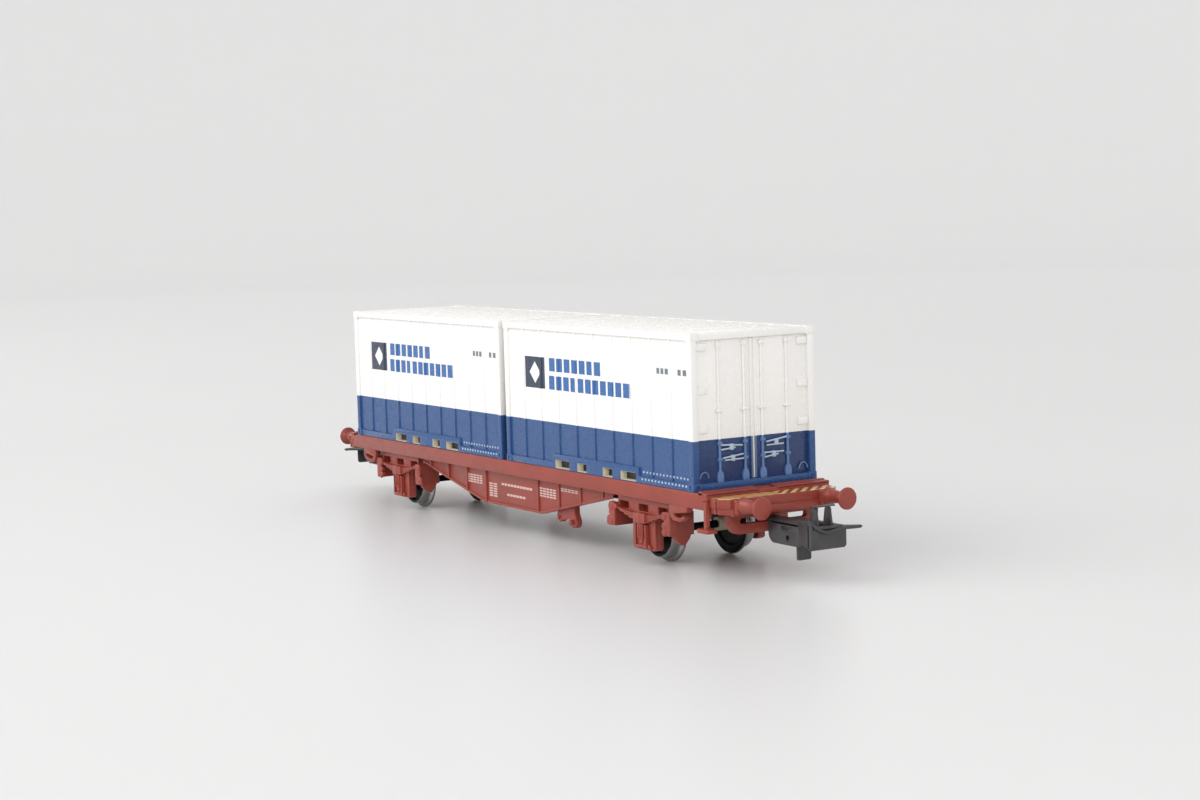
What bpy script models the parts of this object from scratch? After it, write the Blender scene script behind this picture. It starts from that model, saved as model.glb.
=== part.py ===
"""H0 container flat car: a two-axle flat car with two lift-off twenty-foot containers.

Sizes below are in millimetres; meshes are written in metres.
+X is the end whose container doors show, +Z is up, the origin is on the running surface
under the middle of the car.
"""
from math import atan2, cos, pi, radians, sin

import bmesh
import bpy
from mathutils import Matrix, Vector

MM = 0.001

# ---------------------------------------------------------------- driving dimensions
FIT = 0.05                    # gap between two fixed pieces that fit together
RUN = 0.06                    # radial clearance where a shaft or pin turns

CONTAINER_LENGTH = 69.6
CONTAINER_WIDTH = 28.0
CONTAINER_HEIGHT = 29.1
CONTAINER_GAP = 2.24          # between the two containers
SHELL_WALL = 1.0
PANEL_INSET = 0.45            # how far the wall panels lie behind posts and rails
POST_WIDTH = 1.4
RAIL_HEIGHT = 1.3
CASTING = 1.9
CASTING_PROUD = 0.1
SIDE_PANELS = 10              # panels between the corner posts of a side
RIB_WIDTH = 0.5
RIB_PROUD = 0.28
POCKET_HEIGHT = 1.7
POCKET_OUTER = (9.55, 15.1)   # from the container's middle
POCKET_INNER = (3.0, 6.6)
POCKET_STRIP_HEIGHT = 3.0
POCKET_STRIP_MARGIN = 0.9
FLOOR_THICKNESS = 2.0
FLOOR_OPENING = (40.0, 14.0)  # opening in the middle of the floor plate
DOOR_THICKNESS = 1.1
DOOR_RECESS = 0.35
ROD_RADIUS = 0.28
ROD_PLACES = (2.0, 7.75)      # lock rods, from the door joint
LIFT_TRAVEL = 35.0            # lift-off travel the containers are built to clear

SILL_OVERHANG = 0.0           # sill face beyond the container's side
SILL_HEIGHT = 3.0
SILL_THICKNESS = 1.8
DECK_THICKNESS = 1.25
DECK_OVER_WHEEL = 2.2         # air between flange and deck
DECK_MARGIN = 4.0             # deck beyond the container's end
SILL_SHORT = 1.1              # sill ends this far before the deck
RIDGE_WIDTH = 2.6
RIDGE_RISE = 0.4
NOTCH_WIDTH = 4.2
NOTCH_DEPTH = 0.95
WEB_INSET = 1.6               # web face behind the sill face
WEB_THICKNESS = 1.0
WEB_BRAKE_GAP = 0.8           # web's end to the inner brake block
BELLY_HALF_LENGTH = 12.3
BELLY_DROP = 9.0              # from the deck's underside to the belly's lower edge
WEB_END_DROP = 2.9
WEB_RIB_FIRST = 11.1
WEB_RIB_PITCH = 8.5
WEB_RIBS = 4
WEB_RIB_WIDTH = 0.5
WEB_RIB_PROUD = 0.35
CROSS_MEMBER = 1.0
MEMBER_INSET = 0.6            # cross member behind the web's end

WHEELBASE = 103.0
TREAD_DIAMETER = 10.5
FLANGE_HEIGHT = 0.95
BACK_TO_BACK = 13.8
WHEEL_WIDTH = 2.8
AXLE_RADIUS = 0.75
JOURNAL_RADIUS = 0.5
JOURNAL_LENGTH = 1.1
HUB_RADIUS = 1.75
BUSH_WALL = 0.6
BUSH_LENGTH = 5.6

GUARD_THICKNESS = 1.2
GUARD_HALF_LENGTH = 9.1
GUARD_HALF_WIDTH = 4.0        # the horn below the plate
GUARD_BELOW_AXLE = 3.3
GUARD_PLATE_DROP = 4.9
GUARD_FACE = 0.65             # thickness of the facing on the horn
GUARD_FACE_TOP = 2.5          # above the axle
GUARD_WINDOW = (3.4, 1.4)     # width and height of each opening
GUARD_WINDOW_PITCH = 6.85
SPRING_HALF_LENGTH = 9.0
SPRING_ABOVE_AXLE = 3.6
SPRING_DEPTH = 0.8
BUCKLE_HALF_WIDTH = 2.1
BOX_HALF_WIDTH = 1.9
BOX_HEIGHT = 3.6
BOX_DEPTH = 0.75
BRAKE_THICKNESS = 1.25
BRAKE_WIDTH = 5.5
BRAKE_ABOVE_AXLE = 4.9
BRAKE_BELOW = -0.4            # lower edge, below the axle
BRAKE_TIP = 1.9

HEADSTOCK_DEPTH = 4.3
HEADSTOCK_HEIGHT = 2.9
HEADSTOCK_DROP = 0.65         # platform below the deck's top
HEADSTOCK_INSET = 0.6         # from the sill face, each side
HEADSTOCK_BEVEL = 1.6
BEAM_HEIGHT = 1.8
BEAM_PROUD = 0.3
GUIDE_HALF_WIDTH = 10.2
GUIDE_DROP = 4.2
GUIDE_THICKNESS = 1.4
GUIDE_CORNER = 2.6
GUIDE_SLOT_HALF_WIDTH = 7.6
GUIDE_SLOT_HEIGHT = 1.1
GUIDE_SLOT_DROP = 1.78        # slot's middle below the buffer beam
PAD_HALF_WIDTH = 1.55
PAD_PROUD = 1.3

BUFFER_SPACING = 19.2
BUFFER_LENGTH = 5.8
BUFFER_HEAD_RADIUS = 2.07
BUFFER_HEAD_THICKNESS = 0.65
BUFFER_ROOT_RADIUS = 1.45
BUFFER_NECK_RADIUS = 1.1
BUFFER_PEG_RADIUS = 0.8
BUFFER_PEG_LENGTH = 2.2
BUFFER_BELOW_PLATFORM = 1.15

SHEET = 0.45                  # coupler sheet metal
COUPLER_PIVOT_INSET = 8.7     # pivot behind the deck's end
SHANK_HALF_WIDTH = 1.6
HEAD_LENGTH = 9.65
HEAD_HALF_WIDTH = 3.2
HEAD_HEIGHT = 4.0
HEAD_GAP = 2.53               # between guide and head
FACE_AHEAD = 4.52             # front plate ahead of the cheeks
FACE_HALF_WIDTH = 4.2
FACE_HEIGHT = 4.2
NOSE_REACH = 3.3
FACE_HORN = 1.3              # rise of the plate beside the dip
PIVOT_PIN_RADIUS = 0.8
PIVOT_HEAD_RADIUS = 1.5
PIVOT_HEAD_HEIGHT = 0.5
BOSS_RADIUS = 1.7
BOSS_HEIGHT = 2.2
SPRING_WIRE = 0.16
BAIL_PIN_RADIUS = 0.45
BAIL_PIN_FROM_REAR = 5.8      # along the head
BAIL_PIN_BELOW_TOP = 2.75
BAIL_HALF_WIDTH = 1.3
BAIL_REACH = 7.15             # arms ahead of the pin
BAIL_HEIGHT = 3.4             # above the head
BAIL_ARM = 2.0
LATCH_HALF_WIDTH = 2.35
TONGUE_DROP = 3.0             # below the head's lower edge
TONGUE_HALF_WIDTH = 1.55

STEP_TREAD = (3.5, 2.4, 0.75)
STEP_POST = 0.8
STEP_DROP = 5.95              # deck underside to the tread's lower face
BOX_AT = 19.9                 # changeover box, from the car's middle
BOX_WIDTH = 7.6
BOX_DROP = 10.3
BOX_THICKNESS = 1.4
BALLAST_MEMBER_GAP = 0.7      # ballast's end to the cross member
BALLAST_HALF_WIDTH = 9.4
BALLAST_THICKNESS = 1.2
SPIGOT_RADIUS = 0.6
SPIGOT_HEIGHT = 0.9
SPIGOT_FROM_END = 5.0
SPIGOT_FROM_SIDE = 5.0

# ---------------------------------------------------------------- worked-out places
FLANGE_RADIUS = TREAD_DIAMETER / 2 + FLANGE_HEIGHT
AXLE_Z = FLANGE_RADIUS
AXLE_X = WHEELBASE / 2
DECK_BOTTOM = 2 * FLANGE_RADIUS + DECK_OVER_WHEEL
DECK_TOP = DECK_BOTTOM + DECK_THICKNESS
HALF_WIDTH = CONTAINER_WIDTH / 2 + SILL_OVERHANG
DECK_END = CONTAINER_GAP / 2 + CONTAINER_LENGTH + DECK_MARGIN
SILL_END = DECK_END - SILL_SHORT
SILL_BOTTOM = DECK_TOP - SILL_HEIGHT
WEB_FACE = HALF_WIDTH - WEB_INSET
WEB_BACK = WEB_FACE - WEB_THICKNESS
GUARD_OUT = HALF_WIDTH - SILL_THICKNESS - FIT
GUARD_IN = GUARD_OUT - GUARD_THICKNESS
GUARD_FRONT = GUARD_OUT + GUARD_FACE
PLATFORM_Z = DECK_TOP - HEADSTOCK_DROP
HEADSTOCK_X = DECK_END + FIT
HEADSTOCK_FACE = HEADSTOCK_X + HEADSTOCK_DEPTH
HEADSTOCK_BOTTOM = PLATFORM_Z - HEADSTOCK_HEIGHT
HEADSTOCK_HALF = HALF_WIDTH - HEADSTOCK_INSET
BUFFER_Z = PLATFORM_Z - BUFFER_BELOW_PLATFORM
PAD_FACE = HEADSTOCK_FACE + PAD_PROUD
SLOT_Z = HEADSTOCK_BOTTOM - GUIDE_SLOT_DROP
SHANK_TOP = SLOT_Z - GUIDE_SLOT_HEIGHT / 2 + 0.28 + SHEET
PIVOT_X = DECK_END - COUPLER_PIVOT_INSET
HEAD_X = HEADSTOCK_X + GUIDE_THICKNESS + HEAD_GAP
HEAD_END = HEAD_X + HEAD_LENGTH
FACE_X = HEAD_END + FACE_AHEAD
BAIL_PIN_X = HEAD_X + BAIL_PIN_FROM_REAR
BAIL_PIN_Z = SHANK_TOP - BAIL_PIN_BELOW_TOP
WHEEL_OUT = BACK_TO_BACK / 2 + WHEEL_WIDTH
BRAKE_NEAR = GUARD_HALF_LENGTH + FIT
WEB_HALF_LENGTH = AXLE_X - BRAKE_NEAR - BRAKE_THICKNESS - WEB_BRAKE_GAP
MEMBER_X = WEB_HALF_LENGTH - MEMBER_INSET
BALLAST_HALF_LENGTH = MEMBER_X - CROSS_MEMBER - BALLAST_MEMBER_GAP
BRAKE_OUT = HALF_WIDTH - 0.3
CONTAINER_Z = DECK_TOP + FIT


# ---------------------------------------------------------------- modelling helpers
def clear_scene():
    for obj in list(bpy.data.objects):
        bpy.data.objects.remove(obj, do_unlink=True)


def material(name, colour, roughness, metallic=0.0):
    mat = bpy.data.materials.get(name)
    if mat is None:
        mat = bpy.data.materials.new(name)
        mat.use_nodes = True
        shader = mat.node_tree.nodes["Principled BSDF"]
        shader.inputs["Base Color"].default_value = (*colour, 1.0)
        shader.inputs["Roughness"].default_value = roughness
        shader.inputs["Metallic"].default_value = metallic
    return mat


def box(lo, hi):
    """A box between two corners."""
    bm = bmesh.new()
    bmesh.ops.create_cube(bm, size=1.0)
    low, high = Vector(lo), Vector(hi)
    for vert in bm.verts:
        for axis in range(3):
            vert.co[axis] = low[axis] if vert.co[axis] < 0 else high[axis]
    return bm


def plate(outline, plane, lo, hi, holes=()):
    """An outline in a plane, with holes, made solid between lo and hi on the third axis."""
    first, second, third = {"XY": (0, 1, 2), "XZ": (0, 2, 1), "YZ": (1, 2, 0)}[plane]
    bm = bmesh.new()
    edges = []
    for loop in (outline, *holes):
        verts = []
        for u, v in loop:
            co = [0.0, 0.0, 0.0]
            co[first], co[second], co[third] = u, v, lo
            verts.append(bm.verts.new(co))
        edges += [bm.edges.new((a, b)) for a, b in zip(verts, verts[1:] + verts[:1])]
    bmesh.ops.triangle_fill(bm, edges=edges, use_beauty=True, use_dissolve=False)
    faces = list(bm.faces)
    grown = bmesh.ops.extrude_face_region(bm, geom=faces, use_keep_orig=True)["geom"]
    for item in grown:
        if isinstance(item, bmesh.types.BMVert):
            item.co[third] = hi
    bmesh.ops.recalc_face_normals(bm, faces=bm.faces)
    return bm


def arc(cx, cz, radius, start, stop, steps):
    """Points on an arc; angles in degrees."""
    return [(cx + radius * cos(radians(start + (stop - start) * i / steps)),
             cz + radius * sin(radians(start + (stop - start) * i / steps)))
            for i in range(steps + 1)]


def circle(cx, cz, radius, steps=16):
    return arc(cx, cz, radius, 0, 360 - 360 / steps, steps - 1)


def rectangle(x0, z0, x1, z1):
    return [(x0, z0), (x1, z0), (x1, z1), (x0, z1)]


def turned(profile, axis, centre, segments):
    """A closed profile of (radius, height) turned round an axis; radius 0 makes a pole."""
    bm = bmesh.new()
    rings = []
    third = "XYZ".index(axis)
    first, second = (third + 1) % 3, (third + 2) % 3
    for radius, height in profile:
        ring = []
        for i in range(segments if radius > 0 else 1):
            turn = 2 * pi * i / segments
            co = list(centre)
            co[first] += radius * cos(turn)
            co[second] += radius * sin(turn)
            co[third] += height
            ring.append(bm.verts.new(co))
        rings.append(ring)
    open_ends = len(rings[0]) == 1
    pairs = list(zip(rings, rings[1:])) if open_ends else list(zip(rings, rings[1:] + rings[:1]))
    for low, high in pairs:
        for i in range(segments):
            k = (i + 1) % segments
            corners = [low[i % len(low)], low[k % len(low)], high[k % len(high)], high[i % len(high)]]
            bm.faces.new(list(dict.fromkeys(corners)))
    bmesh.ops.recalc_face_normals(bm, faces=bm.faces)
    return bm


def merged(parts):
    """Several closed shapes in one mesh."""
    whole = bmesh.new()
    for part in parts:
        mesh = bpy.data.meshes.new("merge")
        part.to_mesh(mesh)
        whole.from_mesh(mesh)
        bpy.data.meshes.remove(mesh)
        part.free()
    return whole


def mirrored(bm, end, side):
    """Take a shape made for the +X end and the -Y side to another corner."""
    for vert in bm.verts:
        vert.co.x *= end
        vert.co.y *= -side
    if end * -side < 0:
        bmesh.ops.reverse_faces(bm, faces=bm.faces)
    return bm


def make_object(name, bm, mat, origin=(0.0, 0.0, 0.0), turn=0.0):
    """An object in metres from a shape in millimetres, turned about the car's vertical axis."""
    spin = Matrix.Rotation(turn, 3, "Z")
    start = Vector(origin)
    for vert in bm.verts:
        vert.co = (vert.co - start) * MM
    mesh = bpy.data.meshes.new(name)
    bm.to_mesh(mesh)
    bm.free()
    mesh.shade_smooth()
    mesh.set_sharp_from_angle(angle=radians(35))
    mesh.materials.append(mat)
    obj = bpy.data.objects.new(name, mesh)
    bpy.context.scene.collection.objects.link(obj)
    obj.location = spin @ (start * MM)
    obj.rotation_euler = (0.0, 0.0, turn)
    return obj


def combine(obj, bm, operation):
    """Join a shape to an object, or cut it away, with a Boolean modifier."""
    mesh = bpy.data.meshes.new(obj.name + "_tool")
    for vert in bm.verts:
        vert.co = vert.co * MM
    bm.to_mesh(mesh)
    bm.free()
    tool = bpy.data.objects.new(obj.name + "_tool", mesh)
    bpy.context.scene.collection.objects.link(tool)
    tool.hide_render = True
    tool.display_type = "WIRE"
    tool.rotation_euler = obj.rotation_euler
    modifier = obj.modifiers.new(operation.lower(), "BOOLEAN")
    modifier.operation = operation
    modifier.object = tool


# ---------------------------------------------------------------- frame
def belly_bottom(x):
    """Lower edge of the fish-belly web at a place along the car."""
    run = (abs(x) - BELLY_HALF_LENGTH) / (WEB_HALF_LENGTH - BELLY_HALF_LENGTH)
    return DECK_BOTTOM - BELLY_DROP + max(0.0, run) * (BELLY_DROP - WEB_END_DROP)


def rope_hook():
    """Bracket under the sill with a hook, outboard of the axle, on the -Y side."""
    start = AXLE_X + BRAKE_NEAR + BRAKE_THICKNESS + 0.15
    y0, y1 = -HALF_WIDTH + 0.1, -HALF_WIDTH + SILL_THICKNESS - 0.3
    top = SILL_BOTTOM + 0.3
    low = SILL_BOTTOM - 1.5
    outline = [(start, top), (start, low + 0.2), (start + 0.3, low - 0.6), (start + 1.1, low - 1.4),
               (start + 3.6, low - 1.5), (start + 5.1, low - 0.7), (start + 4.9, low - 0.2),
               (start + 3.5, low - 0.75), (start + 1.9, low - 0.7), (start + 1.5, low - 0.1),
               (start + 5.9, low + 0.5), (start + 6.2, top)]
    return plate(outline, "XZ", y0, y1)


def frame_additions():
    """Sills, webs, ribs, bosses and brackets that grow from the deck."""
    top = DECK_TOP - 0.4
    groups = [[], [], [], []]
    for side in (-1, 1):
        groups[0].append(mirrored(box((-SILL_END, -HALF_WIDTH, SILL_BOTTOM),
                                      (SILL_END, -HALF_WIDTH + SILL_THICKNESS, top)), 1, side))
        web = [(-WEB_HALF_LENGTH, top - 0.2), (-WEB_HALF_LENGTH, belly_bottom(WEB_HALF_LENGTH)),
               (-BELLY_HALF_LENGTH, belly_bottom(0)), (BELLY_HALF_LENGTH, belly_bottom(0)),
               (WEB_HALF_LENGTH, belly_bottom(WEB_HALF_LENGTH)), (WEB_HALF_LENGTH, top - 0.2)]
        groups[1].append(mirrored(plate(web, "XZ", -WEB_FACE, -WEB_BACK), 1, side))
        for end in (-1, 1):
            for i in range(WEB_RIBS):
                x = WEB_RIB_FIRST + i * WEB_RIB_PITCH
                rib = box((x - WEB_RIB_WIDTH / 2, -WEB_FACE - WEB_RIB_PROUD, belly_bottom(x) + 0.15),
                          (x + WEB_RIB_WIDTH / 2, -WEB_FACE + 0.2, SILL_BOTTOM + 0.2))
                groups[2].append(mirrored(rib, end, side))
            groups[3].append(mirrored(rope_hook(), end, side))
    members = []
    for end in (-1, 1):
        x = MEMBER_X
        member = box((x - CROSS_MEMBER, -WEB_BACK - 0.3, belly_bottom(x) + 0.4),
                     (x, WEB_BACK + 0.3, DECK_BOTTOM + 0.3))
        members.append(mirrored(member, end, -1))
        boss = turned([(0, -BOSS_HEIGHT), (BOSS_RADIUS, -BOSS_HEIGHT), (BOSS_RADIUS, 0.4), (0, 0.4)],
                      "Z", (PIVOT_X, 0, DECK_BOTTOM), 24)
        members.append(mirrored(boss, end, -1))
        ridge = box((DECK_END - RIDGE_WIDTH, -HALF_WIDTH, DECK_TOP - 0.3),
                    (DECK_END, HALF_WIDTH, DECK_TOP + RIDGE_RISE))
        members.append(mirrored(ridge, end, -1))
    return [merged(group) for group in (*groups, members, spigots())]


def container_middle(end):
    return end * (CONTAINER_GAP + CONTAINER_LENGTH) / 2


def spigot_places(end):
    reach = CONTAINER_LENGTH / 2 - SPIGOT_FROM_END
    across = CONTAINER_WIDTH / 2 - SPIGOT_FROM_SIDE
    return [(container_middle(end) + i * reach, k * across) for i in (-1, 1) for k in (-1, 1)]


def spigots():
    profile = [(0, -0.3), (SPIGOT_RADIUS, -0.3), (SPIGOT_RADIUS, SPIGOT_HEIGHT - 0.2),
               (SPIGOT_RADIUS - 0.2, SPIGOT_HEIGHT), (0, SPIGOT_HEIGHT)]
    return [turned(profile, "Z", (x, y, DECK_TOP), 12) for end in (-1, 1) for x, y in spigot_places(end)]


def build_frame(mat):
    deck = box((-DECK_END, -HALF_WIDTH, DECK_BOTTOM), (DECK_END, HALF_WIDTH, DECK_TOP))
    frame = make_object("chassis_frame", deck, mat)
    for shape in frame_additions():
        combine(frame, shape, "UNION")
    cuts = []
    for end in (-1, 1):
        notch = box((DECK_END - RIDGE_WIDTH - 0.01, -NOTCH_WIDTH / 2, DECK_TOP + RIDGE_RISE - NOTCH_DEPTH),
                    (DECK_END + 1, NOTCH_WIDTH / 2, DECK_TOP + 2))
        cuts.append(mirrored(notch, end, -1))
        radius = PIVOT_PIN_RADIUS + FIT
        hole = turned([(0, -BOSS_HEIGHT - 1), (radius, -BOSS_HEIGHT - 1), (radius, 0.2), (0, 0.2)],
                      "Z", (PIVOT_X, 0, DECK_BOTTOM), 24)
        cuts.append(mirrored(hole, end, -1))
    combine(frame, merged(cuts), "DIFFERENCE")


def headstock_outline():
    back = HEADSTOCK_X
    bevel = HEADSTOCK_FACE - HEADSTOCK_BEVEL
    half = HEADSTOCK_HALF
    right = [(back, half), (bevel - 1.0, half), (bevel - 0.9, half - 0.45), (bevel - 0.4, half - 0.45),
             (bevel - 0.3, half), (bevel, half), (HEADSTOCK_FACE, half - HEADSTOCK_BEVEL)]
    return [(x, -y) for x, y in right] + [(x, y) for x, y in reversed(right)]


def build_headstock(name, mat, turn):
    """Buffer beam, end platform and coupler guide in one moulding."""
    block = plate(headstock_outline(), "XY", HEADSTOCK_BOTTOM, PLATFORM_Z)
    beam_half = HEADSTOCK_HALF - HEADSTOCK_BEVEL - 0.3
    beam = box((HEADSTOCK_FACE - 1.5, -beam_half, HEADSTOCK_BOTTOM - 0.25),
               (HEADSTOCK_FACE + BEAM_PROUD, beam_half, HEADSTOCK_BOTTOM + BEAM_HEIGHT - 0.25))
    corner = GUIDE_CORNER
    low = HEADSTOCK_BOTTOM - GUIDE_DROP
    half = GUIDE_HALF_WIDTH
    outline = ([(-half, HEADSTOCK_BOTTOM + 0.3), (-half, low + corner + 0.8)]
               + arc(-half + corner, low + corner, corner, 180, 270, 5)
               + arc(half - corner, low + corner, corner, 270, 360, 5)
               + [(half, low + corner + 0.8), (half, HEADSTOCK_BOTTOM + 0.3)])
    reach = GUIDE_SLOT_HALF_WIDTH
    slot = rectangle(-reach, SLOT_Z - GUIDE_SLOT_HEIGHT / 2, reach, SLOT_Z + GUIDE_SLOT_HEIGHT / 2)
    guide = plate(outline, "YZ", HEADSTOCK_X, HEADSTOCK_X + GUIDE_THICKNESS, [slot])
    pads = [box((HEADSTOCK_FACE - 0.5, side * BUFFER_SPACING / 2 - PAD_HALF_WIDTH, HEADSTOCK_BOTTOM + 0.1),
                (PAD_FACE, side * BUFFER_SPACING / 2 + PAD_HALF_WIDTH, PLATFORM_Z - 0.1))
            for side in (-1, 1)]
    headstock = make_object(name, block, mat, turn=turn)
    combine(headstock, beam, "UNION")
    combine(headstock, guide, "UNION")
    combine(headstock, merged(pads), "UNION")
    radius = BUFFER_PEG_RADIUS + FIT
    depth = BUFFER_PEG_LENGTH + 0.2
    holes = [turned([(0, -depth), (radius, -depth), (radius, 1), (0, 1)], "X",
                    (PAD_FACE, side * BUFFER_SPACING / 2, BUFFER_Z), 24) for side in (-1, 1)]
    combine(headstock, merged(holes), "DIFFERENCE")


def build_buffer(name, mat, end, side):
    """Peg, tapered housing and head, turned in one piece."""
    length = BUFFER_LENGTH
    neck = length - BUFFER_HEAD_THICKNESS - 0.45
    profile = [(0, -BUFFER_PEG_LENGTH), (BUFFER_PEG_RADIUS, -BUFFER_PEG_LENGTH), (BUFFER_PEG_RADIUS, FIT),
               (BUFFER_ROOT_RADIUS, FIT), (BUFFER_ROOT_RADIUS, 0.6), (BUFFER_NECK_RADIUS, neck - 1.2),
               (BUFFER_NECK_RADIUS - 0.15, neck), (BUFFER_HEAD_RADIUS - 0.35, neck + 0.35),
               (BUFFER_HEAD_RADIUS, neck + 0.6), (BUFFER_HEAD_RADIUS, length - 0.35),
               (BUFFER_HEAD_RADIUS - 0.3, length - 0.08), (BUFFER_HEAD_RADIUS * 0.5, length), (0, length)]
    centre = (PAD_FACE, -BUFFER_SPACING / 2, BUFFER_Z)
    make_object(name, mirrored(turned(profile, "X", centre, 20), end, side), mat)


def build_step(name, mat, turn):
    """Shunter's step: a post under the deck's end and a tread."""
    x0 = SILL_END + 0.15
    tread_z = DECK_BOTTOM - STEP_DROP
    out = -HALF_WIDTH - 0.1
    post_outline = [(out, DECK_BOTTOM - FIT), (out, tread_z + 0.3), (out + 0.9, tread_z + 0.3),
                    (out + 0.9, tread_z + 2.3), (out + 1.6, tread_z + 4.0), (out + 1.6, DECK_BOTTOM - FIT)]
    post = plate(post_outline, "YZ", x0, x0 + STEP_POST)
    step = make_object(name, post, mat, turn=turn)
    middle = x0 - 0.2
    length, width, thickness = STEP_TREAD
    out_edge = out - 0.3
    tread_outline = [(middle - length / 2, out_edge + 0.3), (middle - length / 2 + 0.3, out_edge),
                     (middle + length / 2 - 0.3, out_edge), (middle + length / 2, out_edge + 0.3),
                     (middle + length / 2, out_edge + width), (middle - length / 2, out_edge + width)]
    combine(step, plate(tread_outline, "XY", tread_z, tread_z + thickness), "UNION")


def build_changeover_box(name, mat, turn):
    """Brake changeover bracket behind the web, with two rounded lobes below."""
    low = DECK_BOTTOM - BOX_DROP
    x0, x1 = BOX_AT - BOX_WIDTH / 2, BOX_AT + BOX_WIDTH / 2
    outline = ([(x0 + 0.4, DECK_BOTTOM - FIT), (x0 + 0.4, low + 2.2)]
               + arc(x0 + 1.1, low + 1.1, 1.0, 160, 330, 5)
               + [(x1 - 2.5, low + 1.0)]
               + arc(x1 - 0.9, low + 0.6, 1.25, 190, 390, 6)
               + [(x1 - 0.4, low + 2.4), (x1 - 0.4, DECK_BOTTOM - FIT)])
    out = -WEB_BACK + FIT
    bracket = make_object(name, plate(outline, "XZ", out, out + BOX_THICKNESS), mat, turn=turn)
    stud = turned([(0, -0.9), (0.55, -0.9), (0.55, 0.4), (0, 0.4)], "Y", (x1 - 0.9, out, low + 0.6), 16)
    combine(bracket, stud, "UNION")


def build_ballast(mat):
    half = BALLAST_HALF_LENGTH
    top = DECK_BOTTOM - FIT
    plate_shape = box((-half, -BALLAST_HALF_WIDTH, top - BALLAST_THICKNESS), (half, BALLAST_HALF_WIDTH, top))
    make_object("ballast_plate", plate_shape, mat)


# ---------------------------------------------------------------- running gear
def build_axle_guard(name, mat, end, side):
    """Plate with three windows, and the horn that holds the axle's end."""
    a = AXLE_X
    top = DECK_BOTTOM - FIT
    low = top - GUARD_PLATE_DROP
    foot = AXLE_Z - GUARD_BELOW_AXLE
    horn = GUARD_HALF_WIDTH
    half = GUARD_HALF_LENGTH
    outline = [(a - half, top), (a - half, low), (a - horn - 1.2, low), (a - horn, low - 1.1),
               (a - horn, foot + 0.5), (a - horn + 0.6, foot), (a + horn - 0.6, foot),
               (a + horn, foot + 0.5), (a + horn, low - 1.1), (a + horn + 1.2, low), (a + half, low),
               (a + half, top)]
    width, height = GUARD_WINDOW
    window_z = low + 0.6
    windows = [rectangle(a + i * GUARD_WINDOW_PITCH - width / 2, window_z,
                         a + i * GUARD_WINDOW_PITCH + width / 2, window_z + height) for i in (-1, 0, 1)]
    body = plate(outline, "XZ", -GUARD_OUT, -GUARD_IN, windows)
    guard = make_object(name, mirrored(body, end, side), mat)
    face_top = AXLE_Z + GUARD_FACE_TOP
    face = [(a - horn + 0.01, foot + 0.55), (a - horn + 0.62, foot + 0.01), (a + horn - 0.62, foot + 0.01),
            (a + horn - 0.01, foot + 0.55), (a + horn - 0.01, face_top), (a - horn + 0.01, face_top)]
    facing = plate(face, "XZ", -GUARD_FRONT, -GUARD_OUT + 0.2)
    combine(guard, mirrored(facing, end, side), "UNION")
    radius = JOURNAL_RADIUS + RUN
    depth = JOURNAL_LENGTH + 0.15
    bearing = turned([(0, -depth), (radius, -depth), (radius, 1), (0, 1)], "Y", (a, -GUARD_IN, AXLE_Z), 24)
    combine(guard, mirrored(bearing, end, side), "DIFFERENCE")


def build_leaf_spring(name, mat, end, side):
    """Tapered leaf spring with its buckle."""
    a, middle = AXLE_X, AXLE_Z + SPRING_ABOVE_AXLE
    half, grip = SPRING_HALF_LENGTH, BUCKLE_HALF_WIDTH
    outline = [(a - half, middle + 0.8), (a - grip, middle), (a + grip, middle), (a + half, middle + 0.8),
               (a + half, middle + 0.25), (a + grip, middle - 1.25), (a - grip, middle - 1.25),
               (a - half, middle + 0.25)]
    inner = -GUARD_FRONT - FIT
    leaf = plate(outline, "XZ", inner - SPRING_DEPTH, inner)
    spring = make_object(name, mirrored(leaf, end, side), mat)
    buckle = box((a - grip + 0.1, inner - SPRING_DEPTH - 0.35, middle - 1.6),
                 (a + grip - 0.1, inner - 0.25, middle + 0.3))
    combine(spring, mirrored(buckle, end, side), "UNION")


def build_axle_box(name, mat, end, side):
    """Axle box cover with its lid and oil well."""
    a, half = AXLE_X, BOX_HALF_WIDTH
    low = AXLE_Z - BOX_HEIGHT / 2 - 0.3
    high = low + BOX_HEIGHT
    outline = [(a - half, low + 0.5), (a - half + 0.5, low), (a + half - 0.5, low), (a + half, low + 0.5),
               (a + half, high), (a - half, high)]
    inner = -GUARD_FRONT - FIT
    body = plate(outline, "XZ", inner - BOX_DEPTH, inner)
    axle_box = make_object(name, mirrored(body, end, side), mat)
    lid = [(a - half + 0.7, low + 0.7), (a + half - 0.7, low + 0.7), (a + half - 0.7, high - 0.9),
           (a + half - 1.1, high - 0.4), (a - half + 1.1, high - 0.4), (a - half + 0.7, high - 0.9)]
    combine(axle_box, mirrored(plate(lid, "XZ", inner - BOX_DEPTH - 0.4, inner - 0.3), end, side), "UNION")


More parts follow.
